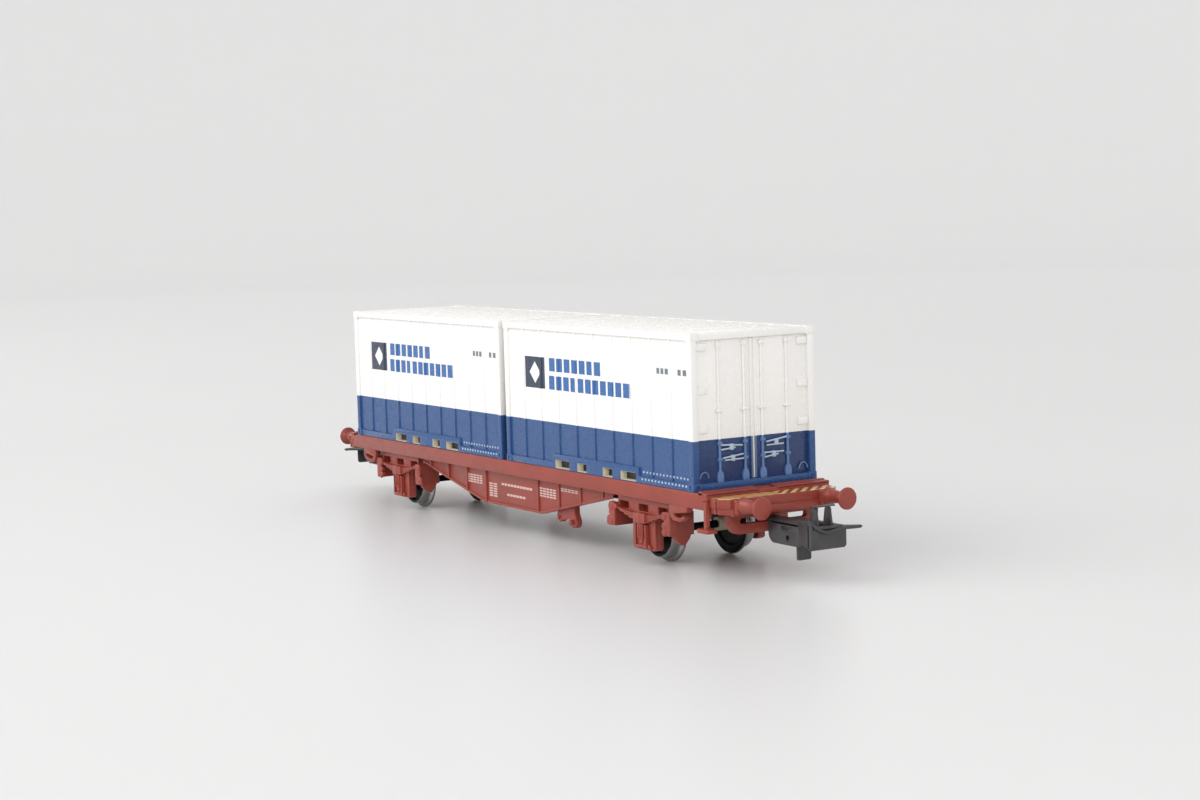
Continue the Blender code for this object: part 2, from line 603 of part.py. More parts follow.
def build_brake_block(name, mat, end, side, direction, tipped):
    """Brake block on its hanger, on one side of the axle."""
    near = AXLE_X + direction * BRAKE_NEAR
    x0, x1 = sorted((near, near + direction * BRAKE_THICKNESS))
    out, inner = -BRAKE_OUT, -BRAKE_OUT + BRAKE_WIDTH
    low = AXLE_Z - BRAKE_BELOW
    high = AXLE_Z + BRAKE_ABOVE_AXLE
    top = DECK_BOTTOM - FIT
    sill = -HALF_WIDTH + SILL_THICKNESS + 0.3
    outline = [(out, high), (out, low + 0.3), (out + 0.4, low)]
    if tipped:
        outline += [(out + 1.1, low), (out + 1.3, low - 0.7), (out + 2.7, low - BRAKE_TIP),
                    (out + 3.5, low - BRAKE_TIP), (out + 4.5, low - 0.7), (out + 4.8, low)]
    outline += [(inner, low), (inner, high), (inner - 1.0, high), (inner - 1.0, top), (sill, top),
                (sill, high)]
    make_object(name, mirrored(plate(outline, "YZ", x0, x1), end, side), mat)


def build_wheelset(name, end, mats):
    """Axle, two wheels and the insulating bush of the +Y wheel."""
    centre = (end * AXLE_X, 0.0, AXLE_Z)
    shoulder = GUARD_IN - 0.15
    tip = GUARD_IN + JOURNAL_LENGTH
    profile = [(0, -tip), (JOURNAL_RADIUS, -tip), (JOURNAL_RADIUS, -shoulder), (AXLE_RADIUS, -shoulder),
               (AXLE_RADIUS, shoulder), (JOURNAL_RADIUS, shoulder), (JOURNAL_RADIUS, tip), (0, tip)]
    make_object(name + "_axle", turned(profile, "Y", centre, 24), mats["axle"], centre)
    bore_bush = AXLE_RADIUS + FIT
    outer_bush = bore_bush + BUSH_WALL
    bush_end = WHEEL_OUT - 0.1
    bush = [(bore_bush, bush_end - BUSH_LENGTH), (outer_bush, bush_end - BUSH_LENGTH),
            (outer_bush, bush_end), (bore_bush, bush_end)]
    make_object(name + "_insulating_bush", turned(bush, "Y", centre, 24), mats["bush"], centre)
    for side, bore in ((-1, bore_bush), (1, outer_bush + FIT)):
        wheel = turned(wheel_profile(bore), "Y", centre, 36)
        if side < 0:
            for vert in wheel.verts:
                vert.co.y = -vert.co.y
            bmesh.ops.reverse_faces(wheel, faces=wheel.faces)
        make_object(name + ("_wheel_left" if side < 0 else "_wheel_right"), wheel, mats["wheel"], centre)


def wheel_profile(bore):
    """Flanged wheel for the +Y side: hub, web, rim, coned tread and flange."""
    back = BACK_TO_BACK / 2
    tread = TREAD_DIAMETER / 2
    out = back + WHEEL_WIDTH
    return [(bore, back), (FLANGE_RADIUS - 0.25, back), (FLANGE_RADIUS, back + 0.3),
            (tread + 0.2, back + 0.75), (tread, back + 1.05), (tread - 0.15, out),
            (tread - 0.95, out), (tread - 1.15, out - 0.6), (HUB_RADIUS + 0.25, out - 0.6),
            (HUB_RADIUS, out - 0.1), (bore, out - 0.1)]


# ---------------------------------------------------------------- couplers
def coupler_face():
    """Front plate with the V-shaped dip, and the hook's nose."""
    top, low = SHANK_TOP, SHANK_TOP - FACE_HEIGHT
    half = FACE_HALF_WIDTH
    dip = 0.9
    outline = [(-half, top + FACE_HORN), (-half, low + 0.5), (-half + 0.5, low), (half - 0.4, low),
               (half, low + 0.4), (half, top - 1.15), (half + NOSE_REACH, top - 0.95),
               (half + NOSE_REACH, top - 0.5), (half - 0.5, top - 0.4), (1.9, top - 0.4), (1.0, top - dip),
               (-0.6, top - dip), (-half + 0.9, top + FACE_HORN)]
    face = plate(outline, "YZ", FACE_X - SHEET, FACE_X)
    nose = [(FACE_X - 0.02, half - 0.8), (FACE_X - 0.02, half + NOSE_REACH),
            (FACE_X - 0.7, half + NOSE_REACH),
            (HEAD_END - 0.2, half - 1.3), (HEAD_END - 0.2, half - 1.7), (HEAD_END + 1.4, half - 1.7)]
    return face, plate(nose, "XY", top - SHEET - 0.2, top - 0.2)


def build_coupler_head(name, mat, turn):
    """Folded sheet: shank, roof, two cheeks, front plate and hook."""
    top = SHANK_TOP
    half = HEAD_HALF_WIDTH
    gap = BAIL_HALF_WIDTH + SHEET + 0.35
    eye = 2.0
    shank = ([(HEAD_X + 0.5, SHANK_HALF_WIDTH)] + arc(PIVOT_X, 0, eye, 60, 300, 10)
             + [(HEAD_X + 0.5, -SHANK_HALF_WIDTH), (HEAD_X + 0.5, -half), (FACE_X - 0.1, -half),
                (FACE_X - 0.1, half), (HEAD_X + 0.5, half)])
    window = rectangle(HEAD_END - 1.9, -gap, FACE_X - 0.9, gap)
    hole = circle(PIVOT_X, 0, PIVOT_PIN_RADIUS + RUN, 24)
    sheet = plate(shank, "XY", top - SHEET, top, [window, hole])
    head = make_object(name, sheet, mat, origin=(PIVOT_X, 0, top), turn=turn)
    cheek = ([(HEAD_X, top - 0.1), (HEAD_X, top - HEAD_HEIGHT + 1.8)]
             + arc(HEAD_X + 1.8, top - HEAD_HEIGHT + 1.8, 1.8, 190, 270, 4)
             + [(HEAD_END, top - HEAD_HEIGHT - 0.1), (HEAD_END, top - 0.1)])
    pin_hole = circle(BAIL_PIN_X, BAIL_PIN_Z, BAIL_PIN_RADIUS + FIT, 16)
    cheeks = [plate(cheek, "XZ", y0, y0 + SHEET, [pin_hole]) for y0 in (-half, half - SHEET)]
    combine(head, shifted(merged(cheeks), (PIVOT_X, 0, top)), "UNION")
    face, nose = coupler_face()
    combine(head, shifted(face, (PIVOT_X, 0, top)), "UNION")
    combine(head, shifted(nose, (PIVOT_X, 0, top)), "UNION")
    for tool in [m.object for m in head.modifiers]:
        tool.location = head.location


def shifted(bm, origin):
    start = Vector(origin)
    for vert in bm.verts:
        vert.co -= start
    return bm


def bail_arm():
    """Side of the bail: eye round the pin, beam forward, arm up to the latch."""
    x, z = BAIL_PIN_X, BAIL_PIN_Z
    eye = BAIL_PIN_RADIUS + RUN + 0.5
    front = x + BAIL_REACH
    top = SHANK_TOP + BAIL_HEIGHT
    outline = (arc(x, z, eye, 60, 300, 8)
               + [(front, z - 0.8), (front + 0.05, SHANK_TOP), (front - 0.35, top),
                  (front - 0.1 - BAIL_ARM, top), (front - 0.4 - BAIL_ARM, z + 0.8)])
    return outline, circle(x, z, BAIL_PIN_RADIUS + RUN, 16)


def build_bail(name, mat, turn):
    """Swinging bail with its latch bar above and the uncoupling tongue below."""
    origin = (BAIL_PIN_X, 0, BAIL_PIN_Z)
    outline, hole = bail_arm()
    half = BAIL_HALF_WIDTH
    bail = make_object(name, plate(outline, "XZ", -half - SHEET, -half, [hole]), mat, origin, turn)
    front = BAIL_PIN_X + BAIL_REACH
    top = SHANK_TOP + BAIL_HEIGHT
    low = SHANK_TOP - HEAD_HEIGHT - TONGUE_DROP
    latch = box((front - 0.75, -LATCH_HALF_WIDTH, top - 0.1), (front + 0.15, LATCH_HALF_WIDTH, top + 0.2))
    tongue_half = TONGUE_HALF_WIDTH
    tongue_outline = [(-tongue_half, BAIL_PIN_Z - 0.8), (-tongue_half, low + 0.4), (-tongue_half + 0.4, low),
                      (tongue_half - 0.4, low), (tongue_half, low + 0.4), (tongue_half, BAIL_PIN_Z - 0.8)]
    x = BAIL_PIN_X + 0.4
    tongue = plate(tongue_outline, "YZ", x, x + SHEET)
    beam = box((x, -half - 0.2, BAIL_PIN_Z - 1.1), (front - 0.3, half + 0.2, BAIL_PIN_Z - 0.7))
    second = plate(outline, "XZ", half, half + SHEET, [hole])
    for shape in (beam, second, tongue, latch):
        combine(bail, shifted(shape, origin), "UNION")
    for tool in [m.object for m in bail.modifiers]:
        tool.location = bail.location


def build_coupler_pins(prefix, mat, turn):
    """Vertical pivot pin in the frame's boss, and the cross pin of the bail."""
    head_low = SHANK_TOP - SHEET - 0.1 - PIVOT_HEAD_HEIGHT
    head_top = head_low + PIVOT_HEAD_HEIGHT
    peg_top = DECK_BOTTOM + 0.1
    profile = [(0, head_low), (PIVOT_HEAD_RADIUS - 0.15, head_low), (PIVOT_HEAD_RADIUS, head_low + 0.15),
               (PIVOT_HEAD_RADIUS, head_top), (PIVOT_PIN_RADIUS, head_top), (PIVOT_PIN_RADIUS, peg_top),
               (0, peg_top)]
    make_object(prefix + "_coupler_pivot_pin", turned(profile, "Z", (PIVOT_X, 0, 0), 24), mat, turn=turn)
    reach = HEAD_HALF_WIDTH + 0.2
    pin = [(0, -reach), (BAIL_PIN_RADIUS, -reach), (BAIL_PIN_RADIUS, reach), (0, reach)]
    centre = (BAIL_PIN_X, 0, BAIL_PIN_Z)
    make_object(prefix + "_bail_pin", turned(pin, "Y", centre, 16), mat, turn=turn)


def build_centring_spring(name, mat, turn):
    """Coil spring round the pivot pin, between the boss and the shank."""
    low = SHANK_TOP + SPRING_WIRE + 0.08
    high = DECK_BOTTOM - BOSS_HEIGHT - SPRING_WIRE - 0.08
    turns, per_turn, sides = 2.5, 12, 6
    radius = PIVOT_PIN_RADIUS + SPRING_WIRE + 0.25
    steps = int(turns * per_turn)
    bm = bmesh.new()
    rings = []
    for i in range(steps + 1):
        angle = 2 * pi * i / per_turn
        height = low + (high - low) * i / steps
        ring = []
        for k in range(sides):
            roll = 2 * pi * k / sides
            r = radius + SPRING_WIRE * cos(roll)
            rise = height + SPRING_WIRE * sin(roll)
            ring.append(bm.verts.new((PIVOT_X + r * cos(angle), r * sin(angle), rise)))
        rings.append(ring)
    for low_ring, high_ring in zip(rings, rings[1:]):
        for k in range(sides):
            n = (k + 1) % sides
            bm.faces.new((low_ring[k], low_ring[n], high_ring[n], high_ring[k]))
    bm.faces.new(rings[0])
    bm.faces.new(rings[-1])
    bmesh.ops.recalc_face_normals(bm, faces=bm.faces)
    make_object(name, bm, mat, turn=turn)


# ---------------------------------------------------------------- containers
def container_ribs(middle, z0):
    """Upright ribs between the panels of both sides."""
    panel_half = CONTAINER_WIDTH / 2 - PANEL_INSET
    span = CONTAINER_LENGTH - 2 * POST_WIDTH + 1.4
    pitch = span / SIDE_PANELS
    ribs = []
    strip = POCKET_OUTER[1] + POCKET_STRIP_MARGIN
    for i in range(1, SIDE_PANELS):
        offset = (i - SIDE_PANELS / 2) * pitch
        low = RAIL_HEIGHT - 0.2
        if abs(offset) < strip + RIB_WIDTH:
            low = POCKET_STRIP_HEIGHT - 0.2
        for side in (-1, 1):
            y0, y1 = sorted((side * (panel_half - 0.2), side * (panel_half + RIB_PROUD)))
            high = z0 + CONTAINER_HEIGHT - RAIL_HEIGHT + 0.2
            ribs.append(box((middle + offset - RIB_WIDTH / 2, y0, z0 + low),
                            (middle + offset + RIB_WIDTH / 2, y1, high)))
    return ribs


def build_container_shell(name, mat, end):
    """Side walls, blind end and roof in one moulding, open below and at the door end."""
    middle = container_middle(end)
    z0, z1 = CONTAINER_Z, CONTAINER_Z + CONTAINER_HEIGHT
    length, width = CONTAINER_LENGTH / 2, CONTAINER_WIDTH / 2
    inset = PANEL_INSET
    origin = (middle, 0, z0)
    shell = make_object(name, box((middle - length + inset, -width + inset, z0 + 0.05),
                                  (middle + length - 0.05, width - inset, z1 - 0.1)), mat, origin)
    posts, rails, castings = [], [], []
    for i in (-1, 1):
        for k in (-1, 1):
            x0, x1 = sorted((middle + i * length, middle + i * (length - POST_WIDTH)))
            y0, y1 = sorted((k * width, k * (width - POST_WIDTH)))
            posts.append(box((x0, y0, z0 + 0.02), (x1, y1, z1 - 0.02)))
            for low in (z0, z1 - CASTING + 0.4):
                x0, x1 = sorted((middle + i * (length + CASTING_PROUD), middle + i * (length - CASTING)))
                y0, y1 = sorted((k * (width + CASTING_PROUD), k * (width - CASTING)))
                castings.append(box((x0, y0, low), (x1, y1, low + CASTING - 0.4)))
        y0, y1 = sorted((i * width, i * (width - POST_WIDTH)))
        for low in (z0 + 0.04, z1 - RAIL_HEIGHT - 0.04):
            rails.append(box((middle - length + 0.7, y0, low),
                             (middle + length - 0.7, y1, low + RAIL_HEIGHT)))
        strip = POCKET_OUTER[1] + POCKET_STRIP_MARGIN
        y0, y1 = sorted((i * (width - inset - 0.3), i * (width - 0.06)))
        rails.append(box((middle - strip, y0, z0 + RAIL_HEIGHT - 0.2),
                         (middle + strip, y1, z0 + POCKET_STRIP_HEIGHT)))
    ends = [box((middle - length + 0.02, -width + 0.7, low),
                (middle - length + POST_WIDTH, width - 0.7, low + RAIL_HEIGHT))
            for low in (z0 + 0.06, z1 - RAIL_HEIGHT - 0.06)]
    for group in (posts, rails[0::3] + rails[1::3], rails[2::3], ends, container_ribs(middle, z0), castings):
        combine(shell, shifted(merged(group), origin), "UNION")
    wall = SHELL_WALL + inset
    hollow = box((middle - length + wall, -width + wall, z0 - 1),
                 (middle + length - POST_WIDTH, width - wall, z1 - SHELL_WALL))
    doorway = box((middle + length - POST_WIDTH - 1, -width + POST_WIDTH, z0 + RAIL_HEIGHT),
                  (middle + length + 1, width - POST_WIDTH, z1 - RAIL_HEIGHT))
    pockets = []
    for side in (-1, 1):
        y0, y1 = sorted((side * (width - wall - 0.5), side * (width + 1)))
        for low, high in (POCKET_OUTER, POCKET_INNER):
            for direction in (-1, 1):
                x0, x1 = sorted((middle + direction * low, middle + direction * high))
                pockets.append(box((x0, y0, z0 + 0.15), (x1, y1, z0 + 0.15 + POCKET_HEIGHT)))
    combine(shell, shifted(hollow, origin), "DIFFERENCE")
    combine(shell, shifted(doorway, origin), "DIFFERENCE")
    combine(shell, shifted(merged(pockets), origin), "DIFFERENCE")
    for tool in [m.object for m in shell.modifiers]:
        tool.location = shell.location


def build_container_floor(name, mat, end):
    """Floor plate pressed into the shell, open in the middle, with holes for the deck's spigots."""
    middle = container_middle(end)
    length, width = CONTAINER_LENGTH / 2, CONTAINER_WIDTH / 2
    wall = SHELL_WALL + PANEL_INSET + FIT
    x0, x1 = middle - length + wall, middle + length - DOOR_RECESS - 0.3 - DOOR_THICKNESS - FIT
    y = width - wall
    holes = [circle(px, py, SPIGOT_RADIUS + 0.1, 16) for px, py in spigot_places(end)]
    long, wide = FLOOR_OPENING
    holes.append(rectangle(middle - long / 2, -wide / 2, middle + long / 2, wide / 2))
    z0 = CONTAINER_Z + 0.1
    floor = plate(rectangle(x0, -y, x1, y), "XY", z0, z0 + FLOOR_THICKNESS, holes)
    make_object(name, floor, mat, (middle, 0, CONTAINER_Z))


def build_container_doors(name, mat, end):
    """Door end: two leaves with four lock rods and their handles, moulded as one insert."""
    middle = container_middle(end)
    outside = middle + CONTAINER_LENGTH / 2
    half = CONTAINER_WIDTH / 2 - POST_WIDTH - FIT
    z0, z1 = CONTAINER_Z + RAIL_HEIGHT + FIT, CONTAINER_Z + CONTAINER_HEIGHT - RAIL_HEIGHT - FIT
    face = outside - DOOR_RECESS - 0.3
    origin = (middle, 0, CONTAINER_Z)
    doors = make_object(name, box((face - DOOR_THICKNESS, -half, z0), (face, half, z1)), mat, origin)
    rods, handles = [], []
    for side in (-1, 1):
        for place in ROD_PLACES:
            profile = [(0, z0 + 0.3), (ROD_RADIUS, z0 + 0.3), (ROD_RADIUS, z1 - 0.3), (0, z1 - 0.3)]
            rods.append(turned(profile, "Z", (face + 0.12, side * place, 0), 12))
        y0, y1 = sorted((side * (ROD_PLACES[0] + 0.6), side * (ROD_PLACES[1] - 0.6)))
        for level in (5.9, 7.9):
            z = CONTAINER_Z + level
            handles.append(box((face - 0.2, y0, z), (face + 0.25, y1, z + 0.4)))
    strip = box((face - 0.2, -0.22, z0 + 0.1), (face + 0.2, 0.22, z1 - 0.1))
    for shape in (merged(rods), merged(handles), strip):
        combine(doors, shifted(shape, origin), "UNION")
    for tool in [m.object for m in doors.modifiers]:
        tool.location = doors.location


# ---------------------------------------------------------------- assembly
def build_car():
    clear_scene()
    red = material("red_brown_plastic", (0.36, 0.07, 0.05), 0.5)
    white = material("white_plastic", (0.86, 0.85, 0.8), 0.4)
    black = material("black_plastic", (0.02, 0.02, 0.022), 0.5)
    steel = material("blackened_steel", (0.09, 0.09, 0.09), 0.42, 0.8)
    bright = material("bright_steel", (0.6, 0.58, 0.55), 0.3, 1.0)
    wheel = material("wheel_steel", (0.12, 0.12, 0.13), 0.35, 0.9)
    beige = material("beige_plastic", (0.78, 0.72, 0.58), 0.5)

    build_frame(red)
    build_ballast(steel)
    for end, end_name in ((1, "front"), (-1, "rear")):
        turn = 0.0 if end > 0 else pi
        build_headstock(end_name + "_headstock", red, turn)
        build_step(end_name + "_shunter_step", red, turn)
        build_changeover_box(end_name + "_changeover_bracket", red, turn)
        build_wheelset(end_name, end, {"axle": steel, "bush": beige, "wheel": wheel})
        build_coupler_head(end_name + "_coupler_head", steel, turn)
        build_bail(end_name + "_coupler_bail", steel, turn)
        build_coupler_pins(end_name, bright, turn)
        build_centring_spring(end_name + "_centring_spring", bright, turn)
        build_container_shell(end_name + "_container_shell", white, end)
        build_container_floor(end_name + "_container_floor", black, end)
        build_container_doors(end_name + "_container_doors", white, end)
        for side, side_name in ((-1, "left"), (1, "right")):
            corner = end_name + "_" + side_name
            build_buffer(corner + "_buffer", red, end, side)
            build_axle_guard(corner + "_axle_guard", red, end, side)
            build_leaf_spring(corner + "_leaf_spring", red, end, side)
            build_axle_box(corner + "_axle_box", red, end, side)
            for direction, place in ((1, "outer"), (-1, "inner")):
                tipped = end * direction == -side
                build_brake_block(corner + "_" + place + "_brake_block", red, end, side, direction, tipped)


build_car()
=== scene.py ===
"""Looks of the H0 container flat car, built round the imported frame. Sizes in millimetres."""
from math import cos, pi, radians, sin

import bmesh
import bpy
from mathutils import Matrix, Vector


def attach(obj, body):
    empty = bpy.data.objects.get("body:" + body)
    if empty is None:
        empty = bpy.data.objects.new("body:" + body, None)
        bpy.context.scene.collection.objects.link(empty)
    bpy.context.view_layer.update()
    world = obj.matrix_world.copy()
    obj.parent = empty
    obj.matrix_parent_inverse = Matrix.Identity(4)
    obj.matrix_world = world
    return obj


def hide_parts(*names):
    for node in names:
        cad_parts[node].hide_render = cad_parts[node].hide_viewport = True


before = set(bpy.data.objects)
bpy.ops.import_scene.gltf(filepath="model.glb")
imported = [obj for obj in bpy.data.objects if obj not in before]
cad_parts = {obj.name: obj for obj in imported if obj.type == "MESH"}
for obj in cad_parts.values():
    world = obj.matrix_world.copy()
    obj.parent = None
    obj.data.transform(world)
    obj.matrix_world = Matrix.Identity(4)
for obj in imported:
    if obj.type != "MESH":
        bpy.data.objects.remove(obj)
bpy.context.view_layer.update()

MM = 0.001

# ---------------------------------------------------------------- sizes shared with the frame
DECK_BOTTOM, DECK_TOP, DECK_END = 14.6, 15.85, 74.72
HALF_WIDTH, SILL_END, SILL_BOTTOM = 14.0, 73.62, 12.85
AXLE_X, AXLE_Z = 51.5, 6.2
PLATFORM_Z, HEADSTOCK_BOTTOM = 15.2, 12.3
HEADSTOCK_X, HEADSTOCK_FACE, HEADSTOCK_HALF = 74.77, 79.07, 13.4
PIVOT_X, SHANK_TOP, SHEET = 66.02, 10.7, 0.45
HEAD_X, HEAD_END, FACE_X = 78.7, 88.35, 92.87
PIN_X, PIN_Z = 84.5, 7.95
LENGTH, WIDTH = 69.6, 28.0
BASE_Z, TOP_Z = 15.9, 45.0
MIDDLE = 35.92                  # container's middle from the car's middle
PANEL_Y = 13.55                 # container's side panels
SPLIT_Z = 25.2                  # white above, blue below
RIB_PITCH = 6.82
POCKETS = ((9.55, 15.1), (3.0, 6.6))
BRAKE_NEAR, BRAKE_THICKNESS = 9.15, 1.25
WINDOW_PITCH, WINDOW_HALF = 6.85, 1.7
ROD_PLACES = (2.0, 7.75)        # locking rods from the doors' middle


# ---------------------------------------------------------------- shapes
def box(lo, hi):
    bm = bmesh.new()
    bmesh.ops.create_cube(bm, size=1.0)
    for vert in bm.verts:
        for axis in range(3):
            vert.co[axis] = (lo if vert.co[axis] < 0 else hi)[axis]
    return bm


def plate(outline, plane, lo, hi, holes=()):
    first, second, third = {"XY": (0, 1, 2), "XZ": (0, 2, 1), "YZ": (1, 2, 0)}[plane]
    bm = bmesh.new()
    edges = []
    for loop in (outline, *holes):
        verts = []
        for u, v in loop:
            co = [0.0, 0.0, 0.0]
            co[first], co[second], co[third] = u, v, lo
            verts.append(bm.verts.new(co))
        edges += [bm.edges.new((a, b)) for a, b in zip(verts, verts[1:] + verts[:1])]
    bmesh.ops.triangle_fill(bm, edges=edges, use_beauty=True, use_dissolve=False)
    grown = bmesh.ops.extrude_face_region(bm, geom=list(bm.faces), use_keep_orig=True)["geom"]
    for item in grown:
        if isinstance(item, bmesh.types.BMVert):
            item.co[third] = hi
    bmesh.ops.recalc_face_normals(bm, faces=bm.faces)
    return bm


def arc(cx, cz, radius, start, stop, steps):
    return [(cx + radius * cos(radians(start + (stop - start) * i / steps)),
             cz + radius * sin(radians(start + (stop - start) * i / steps)))
            for i in range(steps + 1)]


def circle(cx, cz, radius, steps=32):
    return arc(cx, cz, radius, 0, 360 - 360 / steps, steps - 1)


def rectangle(x0, z0, x1, z1):
    return [(x0, z0), (x1, z0), (x1, z1), (x0, z1)]


def rounded(x0, z0, x1, z1, radius, steps=4):
    """Outline of a rectangle with rounded corners."""
    return (arc(x0 + radius, z0 + radius, radius, 180, 270, steps)
            + arc(x1 - radius, z0 + radius, radius, 270, 360, steps)
            + arc(x1 - radius, z1 - radius, radius, 0, 90, steps)
            + arc(x0 + radius, z1 - radius, radius, 90, 180, steps))


def turned(profile, axis, centre, segments=64):
    """A profile of (radius, height) turned round an axis; radius 0 makes a pole."""
    bm = bmesh.new()
    rings = []
    third = "XYZ".index(axis)
    first, second = (third + 1) % 3, (third + 2) % 3
    for radius, height in profile:
        ring = []
        for i in range(segments if radius > 0 else 1):
            turn = 2 * pi * i / segments
            co = list(centre)
            co[first] += radius * cos(turn)
            co[second] += radius * sin(turn)
            co[third] += height
            ring.append(bm.verts.new(co))
        rings.append(ring)
    pairs = list(zip(rings, rings[1:])) if len(rings[0]) == 1 else list(zip(rings, rings[1:] + rings[:1]))
    for low, high in pairs:
        for i in range(segments):
            k = (i + 1) % segments
            corners = [low[i % len(low)], low[k % len(low)], high[k % len(high)], high[i % len(high)]]
            bm.faces.new(list(dict.fromkeys(corners)))
    bmesh.ops.recalc_face_normals(bm, faces=bm.faces)
    return bm


def rod(axis, centre, radius, low, high, segments=32, chamfer=0.06):
    """A round bar with chamfered ends."""
    c = min(chamfer, radius * 0.4)
    return turned([(0, low), (radius - c, low), (radius, low + c), (radius, high - c), (radius - c, high),
                   (0, high)], axis, centre, segments)


def dome(axis, centre, radius, rise, direction=1, segments=16):
    """A rivet head standing on a face."""
    steps = 4
    profile = [(0, -0.1 * direction), (radius, -0.1 * direction)]
    profile += [(radius * cos(radians(90 * i / steps)), direction * rise * sin(radians(90 * i / steps)))
                for i in range(steps)] + [(0, direction * rise)]
    return turned(profile, axis, centre, segments)


def tube(points, radius, sides=10, flat=1.0):
    """A bar of round or oval section along points."""
    bm = bmesh.new()
    pts = [Vector(p) for p in points]
    rings = []
    normal = None
    for i, p in enumerate(pts):
        ahead = (pts[min(i + 1, len(pts) - 1)] - pts[max(i - 1, 0)]).normalized()
        if normal is None:
            normal = ahead.orthogonal().normalized()
        normal = (normal - ahead * normal.dot(ahead)).normalized()
        across = ahead.cross(normal)
        rings.append([bm.verts.new(p + normal * radius * cos(2 * pi * k / sides)
                                   + across * radius * flat * sin(2 * pi * k / sides)) for k in range(sides)])
    for low, high in zip(rings, rings[1:]):
        for k in range(sides):
            n = (k + 1) % sides
            bm.faces.new((low[k], low[n], high[n], high[k]))
    bm.faces.new(rings[0])
    bm.faces.new(rings[-1])
    bmesh.ops.recalc_face_normals(bm, faces=bm.faces)
    return bm


def soft(bm, width=0.1, segments=2, angle=28):
    """Round the sharp edges of one closed shape."""
    bmesh.ops.dissolve_limit(bm, angle_limit=radians(1), verts=bm.verts, edges=bm.edges)
    sharp = [e for e in bm.edges if len(e.link_faces) == 2 and e.calc_face_angle(0) > radians(angle)]
    if sharp:
        bmesh.ops.bevel(bm, geom=sharp, offset=width, offset_type="OFFSET", segments=segments, profile=0.5,
                        affect="EDGES", clamp_overlap=True)
    return bm


def sbox(lo, hi, width=0.1):
    low = [min(a, b) for a, b in zip(lo, hi)]
    high = [max(a, b) for a, b in zip(lo, hi)]
    return soft(box(low, high), width)


def merged(parts):
    whole = bmesh.new()
    for part in parts:
        mesh = bpy.data.meshes.new("merge")
        part.to_mesh(mesh)
        whole.from_mesh(mesh)
        bpy.data.meshes.remove(mesh)
        part.free()
    return whole


def corner(bm, end, side):
    """Take a shape made for the +X end and the -Y side to another corner."""
    for vert in bm.verts:
        vert.co.x *= end
        vert.co.y *= -side
    if end * -side < 0:
        bmesh.ops.reverse_faces(bm, faces=bm.faces)
    return bm


def turned_end(bm, end):
    """Turn a shape made for the +X end to the other end."""
    for vert in bm.verts:
        vert.co.x *= end
        vert.co.y *= end
    return bm


def piece(name, shape, mat, body, slot, *nodes, angle=38):
    """A shown object in the row frame that rides on a body and stands for CAD nodes."""
    bm = merged(shape) if isinstance(shape, list) else shape
    for vert in bm.verts:
        vert.co *= MM
    mesh = bpy.data.meshes.new(name)
    bm.to_mesh(mesh)
    bm.free()
    mesh.shade_smooth()
    mesh.set_sharp_from_angle(angle=radians(angle))
    mesh.materials.append(mat)
    obj = bpy.data.objects.new(name, mesh)
    bpy.context.scene.collection.objects.link(obj)
    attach(obj, body)
    if nodes:
        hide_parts(*nodes)
    return obj


def cut(obj, cutters):
    """Cut closed shapes away from an object and keep the result."""
    bm = merged(cutters)
    for vert in bm.verts:
        vert.co *= MM
    mesh = bpy.data.meshes.new("cutter")
    bm.to_mesh(mesh)
    bm.free()
    tool = bpy.data.objects.new("cutter", mesh)
    bpy.context.scene.collection.objects.link(tool)
    modifier = obj.modifiers.new("cut", "BOOLEAN")
    modifier.operation = "DIFFERENCE"
    modifier.object = tool
    bpy.context.view_layer.update()
    graph = bpy.context.evaluated_depsgraph_get()
    made = bpy.data.meshes.new_from_object(obj.evaluated_get(graph), depsgraph=graph)
    obj.modifiers.clear()
    obj.data = made
    made.set_sharp_from_angle(angle=radians(38))
    bpy.data.objects.remove(tool)
    return obj


